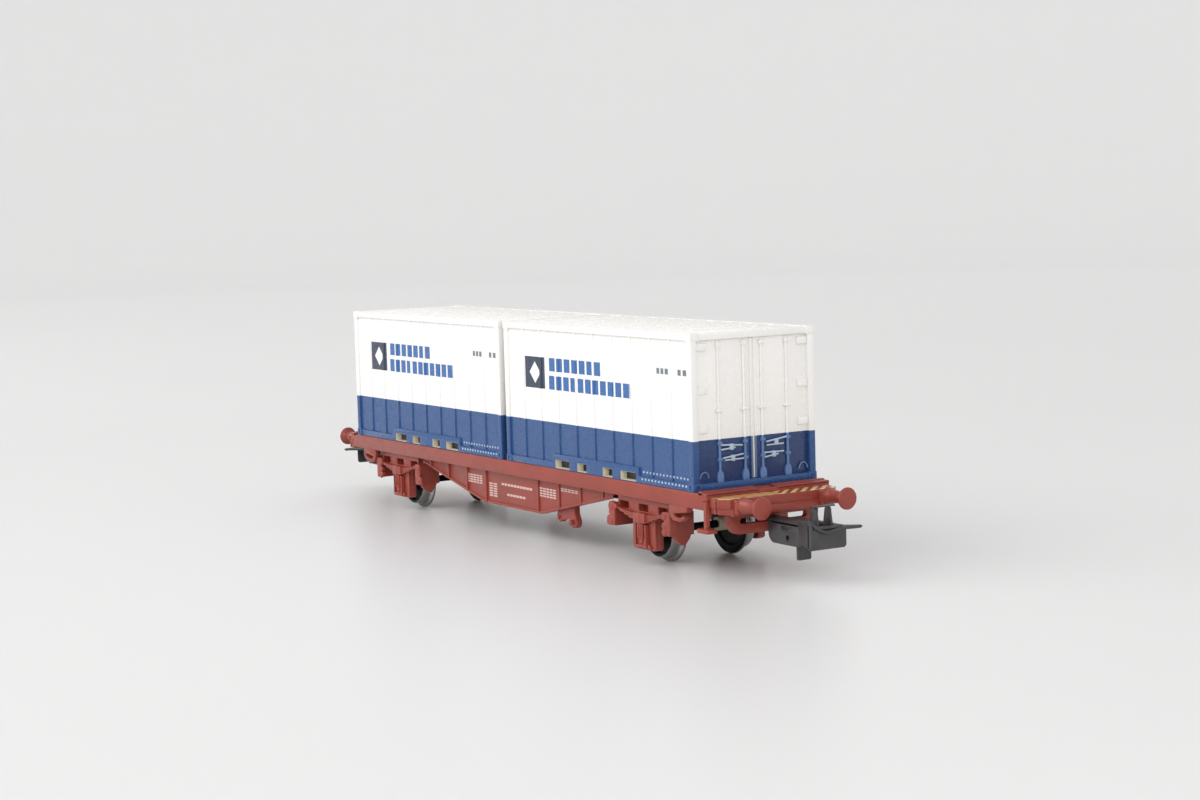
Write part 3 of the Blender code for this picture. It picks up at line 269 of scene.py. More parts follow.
# ---------------------------------------------------------------- materials
class Nodes:
    """Short-hand for building a node material."""

    def __init__(self, name):
        self.mat = bpy.data.materials.new(name)
        self.mat.use_nodes = True
        self.tree = self.mat.node_tree
        self.shader = self.tree.nodes["Principled BSDF"]
        coords = self.new("ShaderNodeTexCoord")
        self.object = coords.outputs["Object"]

    def new(self, kind, **values):
        node = self.tree.nodes.new(kind)
        for key, value in values.items():
            setattr(node, key, value)
        return node

    def link(self, a, b):
        self.tree.links.new(a, b)

    def put(self, value, socket):
        if hasattr(value, "links"):
            self.link(value, socket)
        else:
            socket.default_value = value

    def math(self, operation, a, b=0.0, c=0.0):
        node = self.new("ShaderNodeMath", operation=operation)
        for value, socket in zip((a, b, c), node.inputs):
            self.put(value, socket)
        return node.outputs[0]

    def split(self):
        node = self.new("ShaderNodeSeparateXYZ")
        self.link(self.object, node.inputs[0])
        return node.outputs

    def noise(self, scale, detail=3.0, rough=0.55):
        node = self.new("ShaderNodeTexNoise")
        self.link(self.object, node.inputs["Vector"])
        node.inputs["Scale"].default_value = scale
        node.inputs["Detail"].default_value = detail
        node.inputs["Roughness"].default_value = rough
        return node.outputs["Fac"]

    def ramp(self, value, low, high, out_low, out_high):
        node = self.new("ShaderNodeMapRange")
        self.link(value, node.inputs["Value"])
        for key, number in zip(("From Min", "From Max", "To Min", "To Max"), (low, high, out_low, out_high)):
            node.inputs[key].default_value = number
        return node.outputs["Result"]

    def mix(self, factor, a, b):
        node = self.new("ShaderNodeMix", data_type="RGBA")
        self.put(factor, node.inputs[0])
        self.put(a, node.inputs[6])
        self.put(b, node.inputs[7])
        return node.outputs[2]

    def bump(self, height, strength, distance):
        node = self.new("ShaderNodeBump")
        node.inputs["Strength"].default_value = strength
        node.inputs["Distance"].default_value = distance
        self.link(height, node.inputs["Height"])
        self.link(node.outputs[0], self.shader.inputs["Normal"])


def rgb(r, g, b):
    return (r, g, b, 1.0)


def shade(colour, amount):
    return rgb(*(min(1.0, c * amount) for c in colour[:3]))


def plastic(name, colour, rough=0.42, grain=0.25, vary=0.08, base=None, gloss=0.5):
    """Moulded plastic: faint colour drift, fine grain and uneven gloss."""
    n = Nodes(name)
    source = base(n) if base else None
    drift = n.noise(90.0, 4.0)
    fine = n.noise(2600.0, 2.0)
    factor = n.ramp(drift, 0.35, 0.65, 0.0, 1.0)
    if source is None:
        colour_out = n.mix(factor, shade(colour, 1 - vary), shade(colour, 1 + vary))
    else:
        darker = n.new("ShaderNodeMix", data_type="RGBA", blend_type="MULTIPLY")
        darker.inputs[0].default_value = vary
        n.link(source, darker.inputs[6])
        n.link(n.mix(factor, rgb(0.7, 0.7, 0.7), rgb(1, 1, 1)), darker.inputs[7])
        colour_out = darker.outputs[2]
    n.link(colour_out, n.shader.inputs["Base Color"])
    n.link(n.ramp(n.noise(700.0, 3.0), 0.3, 0.7, rough - 0.05, rough + 0.07), n.shader.inputs["Roughness"])
    n.shader.inputs["IOR"].default_value = 1.49
    n.shader.inputs["Specular IOR Level"].default_value = gloss
    n.bump(n.math("ADD", fine, n.math("MULTIPLY", n.noise(420.0, 2.0), 0.8)), grain, 0.00003)
    return n.mat


def metal(name, colour, rough, metallic=1.0, grain=0.2, vary=0.16):
    n = Nodes(name)
    worn = n.ramp(n.noise(260.0, 5.0, 0.65), 0.35, 0.7, 0.0, 1.0)
    n.link(n.mix(worn, shade(colour, 1 - vary), shade(colour, 1 + vary)), n.shader.inputs["Base Color"])
    n.link(n.ramp(n.noise(1500.0, 4.0), 0.3, 0.7, rough - 0.05, rough + 0.06), n.shader.inputs["Roughness"])
    n.shader.inputs["Metallic"].default_value = metallic
    n.bump(n.noise(3500.0, 3.0), grain, 0.00002)
    return n.mat


RED = rgb(0.27, 0.046, 0.030)
YELLOW = rgb(0.74, 0.54, 0.19)
WHITE = rgb(0.86, 0.845, 0.82)
BLUE = rgb(0.026, 0.080, 0.225)
# Door-end blue, darker than the side blue: painted shade, as the door end gets less light than the long
# sides.
SHADED_DOOR_BLUE = rgb(0.022, 0.048, 0.145)
# Paler blue for the locking rods, cams and brackets: painted highlight standing in for their bright edges.
ROD_HIGHLIGHT_BLUE = rgb(0.10, 0.19, 0.40)
SQUARE_INK, BAR_INK, DASH_INK = rgb(0.03, 0.045, 0.08), rgb(0.035, 0.13, 0.36), rgb(0.16, 0.19, 0.22)

STRIPE_PITCH, STRIPE_PHASE = 2.25, 0.15
STRIPES_X, STRIPES_HALF = (74.95, 78.95), 13.2
SQUARE_X, SQUARE_Z, DIAMOND = (-26.8, -18.9), (31.8, 38.2), 2.2
BAR_ROWS = (((-17.1, 3.0), (35.5, 38.2), 2.9), ((-17.3, 13.7), (31.8, 34.6), 2.8))
BAR_SHARE = 0.78
DASHES_X = ((22.6, 23.6), (24.0, 25.0), (25.4, 26.5), (29.7, 30.8), (31.4, 32.6))
DASHES_Z = (37.1, 38.2)


def within(n, value, low, high):
    """1 where a coordinate lies between two places in millimetres."""
    return n.math("COMPARE", value, (low + high) / 2 * MM, (high - low) / 2 * MM)


def side_marks(n, colour):
    """Plain blocks on the long sides: a square with a diamond, two rows of bars and a few dashes."""
    x, y, z = n.split()
    local = n.math("MULTIPLY_ADD", n.math("SIGN", x), -MIDDLE * MM, x)
    side = n.math("GREATER_THAN", n.math("ABSOLUTE", y), (PANEL_Y - 0.15) * MM)
    square = n.math("MULTIPLY", within(n, local, *SQUARE_X), within(n, z, *SQUARE_Z))
    middle_x, middle_z = sum(SQUARE_X) / 2 * MM, sum(SQUARE_Z) / 2 * MM
    diamond = n.math("ADD", n.math("ABSOLUTE", n.math("SUBTRACT", local, middle_x)),
                     n.math("ABSOLUTE", n.math("SUBTRACT", z, middle_z)))
    square = n.math("MULTIPLY", square, n.math("GREATER_THAN", diamond, DIAMOND * MM))
    bars = None
    for (x0, x1), rows, pitch in BAR_ROWS:
        beat = n.math("FRACT", n.math("DIVIDE", n.math("SUBTRACT", local, x0 * MM), pitch * MM))
        bar = n.math("MULTIPLY", within(n, local, x0, x1), within(n, z, *rows))
        bar = n.math("MULTIPLY", bar, n.math("LESS_THAN", beat, BAR_SHARE))
        bars = bar if bars is None else n.math("MAXIMUM", bars, bar)
    dashes = None
    for x0, x1 in DASHES_X:
        dash = n.math("MULTIPLY", within(n, local, x0, x1), within(n, z, *DASHES_Z))
        dashes = dash if dashes is None else n.math("MAXIMUM", dashes, dash)
    for mask, ink in ((square, SQUARE_INK), (bars, BAR_INK), (dashes, DASH_INK)):
        colour = n.mix(n.math("MULTIPLY", mask, side), colour, ink)
    return colour


def banded(low, marked=False):
    """White above and a blue below, with a crisp, slightly uneven edge."""
    def colours(n):
        z = n.split()[2]
        edge = n.math("MULTIPLY_ADD", n.noise(900.0, 2.0), 0.04 * MM, (SPLIT_Z - 0.02) * MM)
        colour = n.mix(n.math("GREATER_THAN", z, edge), low, WHITE)
        return side_marks(n, colour) if marked else colour
    return colours


def chevrons(n):
    """Warning stripes on the end platform's top face."""
    x, y, z = n.split()
    run = n.math("ADD", n.math("ABSOLUTE", x), n.math("ABSOLUTE", y))
    wave = n.math("FRACT", n.math("ADD", n.math("DIVIDE", run, STRIPE_PITCH * MM), STRIPE_PHASE))
    stripe = n.math("LESS_THAN", wave, 0.5)
    normal = n.new("ShaderNodeNewGeometry").outputs["Normal"]
    split = n.new("ShaderNodeSeparateXYZ")
    n.link(normal, split.inputs[0])
    up = n.math("GREATER_THAN", split.outputs[2], 0.8)
    ahead = n.math("GREATER_THAN", n.math("ABSOLUTE", x), STRIPES_X[0] * MM)
    back = n.math("LESS_THAN", n.math("ABSOLUTE", x), STRIPES_X[1] * MM)
    inside = n.math("LESS_THAN", n.math("ABSOLUTE", y), STRIPES_HALF * MM)
    high = n.math("GREATER_THAN", z, (PLATFORM_Z - 0.1) * MM)
    for mask in (up, ahead, back, inside, high):
        stripe = n.math("MULTIPLY", stripe, mask)
    return n.mix(stripe, RED, YELLOW)


red = plastic("red_brown_plastic", RED, 0.34, 0.15)
striped = plastic("red_brown_plastic_striped", RED, 0.34, 0.15, base=chevrons)
paint = plastic("container_paint", WHITE, 0.24, 0.02, 0.03, base=banded(BLUE, marked=True))
# Door leaves: white above, and below the darker door-end blue, which is painted shade.
shaded_door_paint = plastic("shaded_door_paint", WHITE, 0.24, 0.02, 0.03, base=banded(SHADED_DOOR_BLUE))
# Rods, cams and brackets: white above, and below a pale blue that is painted highlight.
rod_highlight_paint = plastic("rod_highlight_paint", WHITE, 0.24, 0.02, 0.03, base=banded(ROD_HIGHLIGHT_BLUE))
# Pale blue-white for the rivets and grip handles: painted highlight standing in for their bright dots and
# edges.
highlight_blue_paint = plastic("highlight_blue_paint", rgb(0.42, 0.50, 0.62), 0.3, 0.1)
# Near-black floor insert: painted shade, so the fork pockets read dark inside the container.
black = plastic("black_plastic", rgb(0.018, 0.018, 0.02), 0.45)
cream = plastic("cream_plastic", rgb(0.72, 0.66, 0.5), 0.45)
steel = metal("blackened_steel", rgb(0.075, 0.075, 0.078), 0.40, 0.55, 0.12)
dark_steel = plastic("blackened_wheel", rgb(0.0045, 0.005, 0.006), 0.42, 0.05, gloss=0.12)
tyre = metal("tyre_steel", rgb(0.30, 0.30, 0.30), 0.22, 0.95, 0.02, 0.04)
ballast = metal("ballast_steel", rgb(0.25, 0.25, 0.26), 0.4, 0.9)
mark_pale = plastic("mark_pale", rgb(0.60, 0.44, 0.40), 0.5)

RED_SLOT, WHITE_SLOT, STEEL_SLOT = "red_brown_plastic", "container_white", "blackened_steel"


# ---------------------------------------------------------------- frame
def belly(x):
    run = (abs(x) - 12.3) / (40.3 - 12.3)
    return 5.6 + max(0.0, run) * 6.1


def rope_hook():
    start, top, low = 62.05, 13.15, 11.35
    outline = [(start, top), (start, low + 0.2), (start + 0.3, low - 0.6), (start + 1.1, low - 1.4),
               (start + 3.6, low - 1.5), (start + 5.1, low - 0.7), (start + 4.9, low - 0.2),
               (start + 3.5, low - 0.75), (start + 1.9, low - 0.7), (start + 1.5, low - 0.1),
               (start + 5.9, low + 0.5), (start + 6.2, top)]
    return soft(plate(outline, "XZ", -13.9, -12.5), 0.12)


def build_frame():
    deck = [sbox((-DECK_END, -HALF_WIDTH + 0.02, DECK_BOTTOM), (DECK_END, HALF_WIDTH - 0.02, DECK_TOP), 0.12)]
    for side in (-1, 1):
        deck.append(corner(sbox((-SILL_END, -HALF_WIDTH, SILL_BOTTOM), (SILL_END, -12.2, 15.8), 0.14), 1,
                           side))
        web = [(-40.3, 15.0), (-40.3, belly(40.3)), (-12.3, 5.6), (12.3, 5.6), (40.3, belly(40.3)),
               (40.3, 15.0)]
        deck.append(corner(soft(plate(web, "XZ", -12.4, -11.4), 0.12), 1, side))
        lip = [(-40.3, belly(40.3)), (-12.3, 5.6), (12.3, 5.6), (40.3, belly(40.3)),
               (40.3, belly(40.3) + 0.55), (12.2, 6.15), (-12.2, 6.15), (-40.3, belly(40.3) + 0.55)]
        deck.append(corner(soft(plate(lip, "XZ", -12.6, -11.2), 0.1), 1, side))
        for end in (-1, 1):
            for i in range(4):
                x = 11.1 + 8.5 * i
                foot = belly(x) + 0.1
                outline = rectangle(x - 0.25, foot, x + 0.25, 13.05)
                deck.append(corner(soft(plate(outline, "XZ", -12.75, -12.2), 0.1), end, side))
            deck.append(corner(rope_hook(), end, side))
    for end in (-1, 1):
        deck.append(corner(sbox((38.7, -11.7, belly(39.7) + 0.4), (39.7, 11.7, 14.9)), end, -1))
        boss = turned([(0.85, -2.2), (1.6, -2.2), (1.7, -2.1), (1.7, 0.4), (0.85, 0.4)], "Z",
                      (PIVOT_X, 0, DECK_BOTTOM), 48)
        deck.append(corner(boss, end, -1))
        for y0, y1 in ((-HALF_WIDTH, -2.1), (2.1, HALF_WIDTH)):
            deck.append(corner(sbox((72.12, y0, 15.5), (DECK_END, y1, 16.05), 0.1), end, -1))
            deck.append(corner(sbox((72.12, y0, 15.5), (73.3, y1, 16.25), 0.1), end, -1))
        for i in (-1, 1):
            for k in (-1, 1):
                deck.append(rod("Z", (end * MIDDLE + i * 29.8, k * 9.0, DECK_TOP), 0.6, -0.3, 0.9, 24, 0.2))
    piece("chassis_moulding", deck, red, "chassis", RED_SLOT, "chassis_frame")


def headstock_outline(trim=0.0):
    back, face, half = HEADSTOCK_X, HEADSTOCK_FACE - trim, HEADSTOCK_HALF - trim
    bevel = face - 1.6
    right = [(back, half), (bevel - 1.0, half), (bevel - 0.9, half - 0.45), (bevel - 0.4, half - 0.45),
             (bevel - 0.3, half), (bevel, half), (face, half - 1.6)]
    return [(x, -y) for x, y in right] + [(x, y) for x, y in reversed(right)]


def build_headstock(end_name, end):
    parts = [soft(plate(headstock_outline(), "XY", 13.45, PLATFORM_Z), 0.12),
             soft(plate(headstock_outline(0.25), "XY", HEADSTOCK_BOTTOM, 14.0), 0.1)]
    beam_half = HEADSTOCK_HALF - 1.9
    parts.append(sbox((77.5, -beam_half, 12.05), (79.37, beam_half, 13.5), 0.12))
    slot = rounded(-7.6, 9.97, 7.6, 11.07, 0.5)
    low, half, r = 8.1, 10.2, 2.6
    guide = ([(-half, 12.6), (-half, low + r + 0.8)] + arc(-half + r, low + r, r, 180, 270, 8)
             + arc(half - r, low + r, r, 270, 360, 8) + [(half, low + r + 0.8), (half, 12.6)])
    parts.append(soft(plate(guide, "YZ", HEADSTOCK_X, HEADSTOCK_X + 1.4, [slot]), 0.1))
    for side in (-1, 1):
        y = side * 9.6
        parts.append(soft(plate(rounded(y - 1.55, 12.4, y + 1.55, 15.1, 0.25), "YZ", 78.5, 80.2), 0.08))
        for dy in (-1.15, 1.15):
            for z in (12.85, 14.7):
                parts.append(dome("X", (80.2, y + dy, z), 0.2, 0.16))
    piece(end_name + "_headstock_moulding", turned_end(merged(parts), end), striped, "chassis", RED_SLOT,
          end_name + "_headstock")


def build_buffer(end_name, side_name, end, side):
    c = (80.37, -9.6, 14.05)
    shank = [(0, -0.3), (1.55, -0.3), (1.55, 0.25), (1.45, 0.35), (1.42, 0.8), (1.3, 1.0), (1.22, 2.2),
             (1.12, 3.3),
             (1.14, 3.4), (1.14, 3.75), (1.05, 3.85), (0.95, 4.6), (1.2, 4.85), (1.72, 5.05), (2.0, 5.2),
             (2.07, 5.32), (2.07, 5.5), (2.0, 5.62), (1.85, 5.68), (1.2, 5.76), (0.6, 5.79), (0, 5.8)]
    piece(f"{end_name}_{side_name}_buffer_moulding", corner(turned(shank, "X", c, 64), end, side), red,
          "chassis",
          RED_SLOT, f"{end_name}_{side_name}_buffer")


def build_step(end_name, end):
    x0, tread_z, out = 73.77, 8.65, -14.1
    post = [(out, 14.55), (out, tread_z + 0.3), (out + 0.9, tread_z + 0.3), (out + 0.9, tread_z + 2.3),
            (out + 1.6, tread_z + 4.0), (out + 1.6, 14.55)]
    tread = rounded(x0 - 1.95, out - 0.3, x0 + 1.55, out + 2.1, 0.35)
    parts = [soft(plate(post, "YZ", x0, x0 + 0.8), 0.1),
             soft(plate(tread, "XY", tread_z, tread_z + 0.75), 0.1)]
    for i in range(5):
        x = x0 - 1.7 + i * 0.62
        parts.append(sbox((x, out - 0.15, tread_z + 0.7), (x + 0.25, out + 1.9, tread_z + 0.85), 0.04))
    piece(end_name + "_step_moulding", turned_end(merged(parts), end), red, "chassis", RED_SLOT,
          end_name + "_shunter_step")


def build_changeover(end_name, end):
    low, x0, x1 = 4.3, 16.1, 23.7
    outline = ([(x0 + 0.4, 14.55), (x0 + 0.4, low + 2.2)] + arc(x0 + 1.1, low + 1.1, 1.0, 160, 330, 10)
               + [(x1 - 2.5, low + 1.0)] + arc(x1 - 0.9, low + 0.6, 1.25, 190, 390, 12)
               + [(x1 - 0.4, low + 2.4), (x1 - 0.4, 14.55)])
    parts = [soft(plate(outline, "XZ", -11.3, -9.95), 0.12),
             rod("Y", (x1 - 0.9, -11.35, low + 0.6), 0.55, -0.85, 0.4),
             rod("Y", (x0 + 1.1, -11.35, low + 1.1), 0.4, -0.3, 0.4)]
    piece(end_name + "_changeover_moulding", turned_end(merged(parts), end), red, "chassis", RED_SLOT,
          end_name + "_changeover_bracket")


# ---------------------------------------------------------------- running gear
def guard_shapes():
    """Axle guard: a plate with windows, a face over the axle and a backing plate."""
    a, top, low, foot, back = AXLE_X, 14.55, 9.65, 2.9, (-11.2, -10.6)
    outline = [(a - 9.1, top), (a - 9.1, low), (a - 5.2, low), (a - 4, low - 1.1), (a - 4, foot + 0.5),
               (a - 3.4, foot), (a + 3.4, foot), (a + 4, foot + 0.5), (a + 4, low - 1.1), (a + 5.2, low),
               (a + 9.1, low), (a + 9.1, top)]
    windows = [rounded(a + i * WINDOW_PITCH - WINDOW_HALF, low + 0.6, a + i * WINDOW_PITCH + WINDOW_HALF,
                       low + 2.0,
                       0.3) for i in (-1, 0, 1)]
    front = [(a - 9.0, 12.75), (a - 9.0, low + 0.05), (a - 4.0, low + 0.05), (a - 3.9, low - 1.5),
             (a + 3.9, low - 1.5), (a + 4.0, low + 0.05), (a + 9.0, low + 0.05), (a + 9.0, 12.75)]
    face = [(a - 3.95, 3.4), (a - 3.4, 2.93), (a + 3.4, 2.93), (a + 3.95, 3.4), (a + 3.95, 8.7),
            (a - 3.95, 8.7)]
    shapes = [soft(plate(outline, "XZ", -12.15, -10.95, windows), 0.1),
              soft(plate(front, "XZ", -12.79, -12.0, windows), 0.08),
              soft(plate(face, "XZ", -12.78, -12.0), 0.1),
              sbox((a - 8.9, back[0], 9.8), (a + 8.9, back[1], 14.5), 0.05)]
    return shapes + [dome("Y", (a + x, -12.78, z), 0.22, 0.14, -1) for x in (-3.3, 3.3) for z in (3.7, 8.0)]


def spring_shapes():
    """Leaf spring: five curved leaves, a buckle and an eye at each end."""
    a, middle, half = AXLE_X, 9.8, 8.9
    shapes = []
    for j in range(5):
        reach = half - 1.55 * j
        curve = []
        for i in range(17):
            x = reach * (2 * i / 16 - 1)
            curve.append((a + x, middle + 0.78 * (x / 9.0) ** 2 - 0.3 * j))
        strip = curve + [(x, z - 0.27) for x, z in reversed(curve)]
        shapes.append(soft(plate(strip, "XZ", -13.62 + 0.02 * j, -12.86), 0.05, angle=50))
    shapes.append(sbox((a - 2.0, -13.98, middle - 1.65), (a + 2.0, -13.1, middle + 0.28), 0.12))
    shapes.append(sbox((a - 0.55, -14.05, middle - 1.75), (a + 0.55, -13.1, middle + 0.38), 0.1))
    for x in (-8.7, 8.7):
        shapes.append(rod("Y", (a + x, -13.25, middle + 0.72), 0.46, -0.5, 0.45, 24))
    return shapes


def axle_box_shapes():
    """Bearing box: a cover with side ribs, a lid with two strips, a foot and a round plug."""
    a = AXLE_X
    outline = [(a - 2.6, 3.3), (a + 2.9, 3.3), (a + 2.9, 3.8), (a + 1.9, 4.2), (a + 1.9, 7.9), (a - 1.9, 7.9),
               (a - 1.9, 4.2), (a - 2.6, 3.8)]
    shapes = [soft(plate(outline, "XZ", -13.35, -12.82), 0.1)]
    shapes += [sbox((a + x - 0.22, -13.75, 3.9), (a + x + 0.22, -13.2, 7.9), 0.1) for x in (-1.75, 1.75)]
    return shapes + [sbox((a - 0.95, -13.8, 5.2), (a + 0.95, -13.2, 8.0), 0.12),
                     sbox((a - 0.5, -14.0, 5.5), (a - 0.15, -13.6, 7.7), 0.08),
                     sbox((a + 0.2, -14.0, 5.5), (a + 0.55, -13.6, 7.7), 0.08),
                     sbox((a - 1.9, -13.7, 3.45), (a + 1.9, -13.2, 3.95), 0.1),
                     rod("Y", (a, -13.3, 4.75), 0.62, -0.35, 0.3, 24, 0.15)]


OUTER_LOBE = [(10.38, 6.75), (10.38, 10.9), (10.0, 11.2), (8.6, 11.15), (7.9, 10.9), (7.6, 10.4), (7.8, 9.75),
              (8.35, 9.4), (8.3, 9.1), (7.8, 8.9), (7.62, 8.5), (7.8, 8.2), (8.1, 8.05), (7.75, 7.85),
              (7.56, 7.4),
              (7.7, 6.95), (8.2, 6.65), (10.0, 6.62)]
INNER_LOBE = [(-9.02, 6.8), (-9.02, 11.0), (-9.4, 11.3), (-10.6, 11.35), (-11.1, 11.1), (-11.22, 10.4),
              (-11.15, 9.4),
              (-11.3, 9.0), (-11.0, 8.75), (-11.5, 8.5), (-11.85, 8.2), (-11.95, 7.6), (-12.0, 6.95),
              (-11.7, 6.65),
              (-9.4, 6.62)]
OUTER_KNOBS = ((8.35, 10.3, 0.85), (8.35, 8.5, 0.72), (8.4, 7.3, 0.82))
INNER_KNOBS = ((-10.3, 10.4, 0.88), (-10.55, 7.55, 0.95))


def brake_shapes(direction, tipped):
    """Brake block across the wheel with its hanger's outline on the outer face."""
    near = AXLE_X + direction * BRAKE_NEAR
    x0, x1 = sorted((near, near + direction * BRAKE_THICKNESS))
    flat = [(-13.6, 11.1), (-13.6, 6.9), (-13.2, 6.6)]
    if tipped:
        flat += [(-12.6, 6.6), (-12.4, 5.9), (-11.0, 4.7), (-10.2, 4.7), (-9.2, 5.9), (-8.9, 6.6)]
    flat += [(-8.2, 6.6), (-8.2, 11.1), (-9.2, 11.1), (-9.2, 14.55), (-11.9, 14.55), (-11.9, 11.1)]
    lobe, knobs = (OUTER_LOBE, OUTER_KNOBS) if direction > 0 else (INNER_LOBE, INNER_KNOBS)
    shapes = [soft(plate(flat, "YZ", x0, x1), 0.1),
              soft(plate([(AXLE_X + x, z) for x, z in lobe], "XZ", -13.7, -12.9), 0.12)]
    for x, z, radius in knobs:
        shapes.append(rod("Y", (AXLE_X + x, -13.65, z), radius, -0.2, 0.3, 28, 0.18))
    return shapes


def build_corner(end_name, side_name, end, side):
    name = f"{end_name}_{side_name}_"

    def put(label, shapes, node):
        piece(name + label, corner(merged(shapes), end, side), red, "chassis", RED_SLOT, name + node)

    put("guard_moulding", guard_shapes(), "axle_guard")
    put("leaf_spring_moulding", spring_shapes(), "leaf_spring")
    put("axle_box_moulding", axle_box_shapes(), "axle_box")
    for direction, place in ((1, "outer"), (-1, "inner")):
        tipped = end * direction == -side
        put(place + "_brake_moulding", brake_shapes(direction, tipped), place + "_brake_block")


def wheel_parts(end, side, bore):
    """Disc and tyre of a wheel made for the +Y side."""
    c = (end * AXLE_X, 0.0, AXLE_Z)
    disc = [(bore, 6.95), (1.9, 6.95), (2.1, 7.2), (4.1, 7.35), (4.35, 7.2), (4.5, 6.93), (5.95, 6.9),
            (6.1, 7.0),
            (6.1, 7.3), (5.2, 7.8), (5.15, 7.95), (5.0, 9.4), (4.95, 9.66), (4.4, 9.66), (4.25, 9.5),
            (4.2, 9.25),
            (4.1, 9.15), (2.2, 9.2), (1.95, 9.3), (1.85, 9.6), (1.75, 9.65), (bore, 9.65)]
    rim = [(6.02, 6.93), (6.12, 6.98), (6.19, 7.12), (6.2, 7.26), (6.14, 7.42), (5.95, 7.55), (5.6, 7.64),
           (5.38, 7.76), (5.28, 7.92), (5.25, 8.1), (5.13, 9.55), (5.02, 9.69), (4.9, 9.7), (4.88, 9.6),
           (4.95, 9.4), (5.05, 7.9), (5.9, 7.2)]
    shapes = [turned(disc, "Y", c, 72), turned(rim, "Y", c, 96)]
    if side < 0:
        for bm in shapes:
            for vert in bm.verts:
                vert.co.y = -vert.co.y
            bmesh.ops.reverse_faces(bm, faces=bm.faces)
    return shapes


def build_wheelset(end_name, end):
    body = end_name + "_wheelset"
    c = (end * AXLE_X, 0.0, AXLE_Z)
    shaft = [(0, -12.05), (0.42, -12.05), (0.5, -11.95), (0.5, -10.8), (0.68, -10.8), (0.75, -10.7),
             (0.75, 10.7),
             (0.68, 10.8), (0.5, 10.8), (0.5, 11.95), (0.42, 12.05), (0, 12.05)]
    piece(body + "_axle_bar", turned(shaft, "Y", c, 48), dark_steel, body, STEEL_SLOT, end_name + "_axle")
    sleeve = [(0.8, 4.0), (1.3, 4.0), (1.4, 4.1), (1.4, 9.5), (1.3, 9.6), (0.8, 9.6)]
    piece(body + "_sleeve", turned(sleeve, "Y", c, 48), cream, body, "beige_plastic",
          end_name + "_insulating_bush")
    for side, name, bore in ((-1, "left", 0.8), (1, "right", 1.45)):
        disc, rim = wheel_parts(end, side, bore)
        piece(f"{body}_{name}_disc", disc, dark_steel, body, "wheel_steel", f"{end_name}_wheel_{name}")
        piece(f"{body}_{name}_tyre", rim, tyre, body, "wheel_steel")


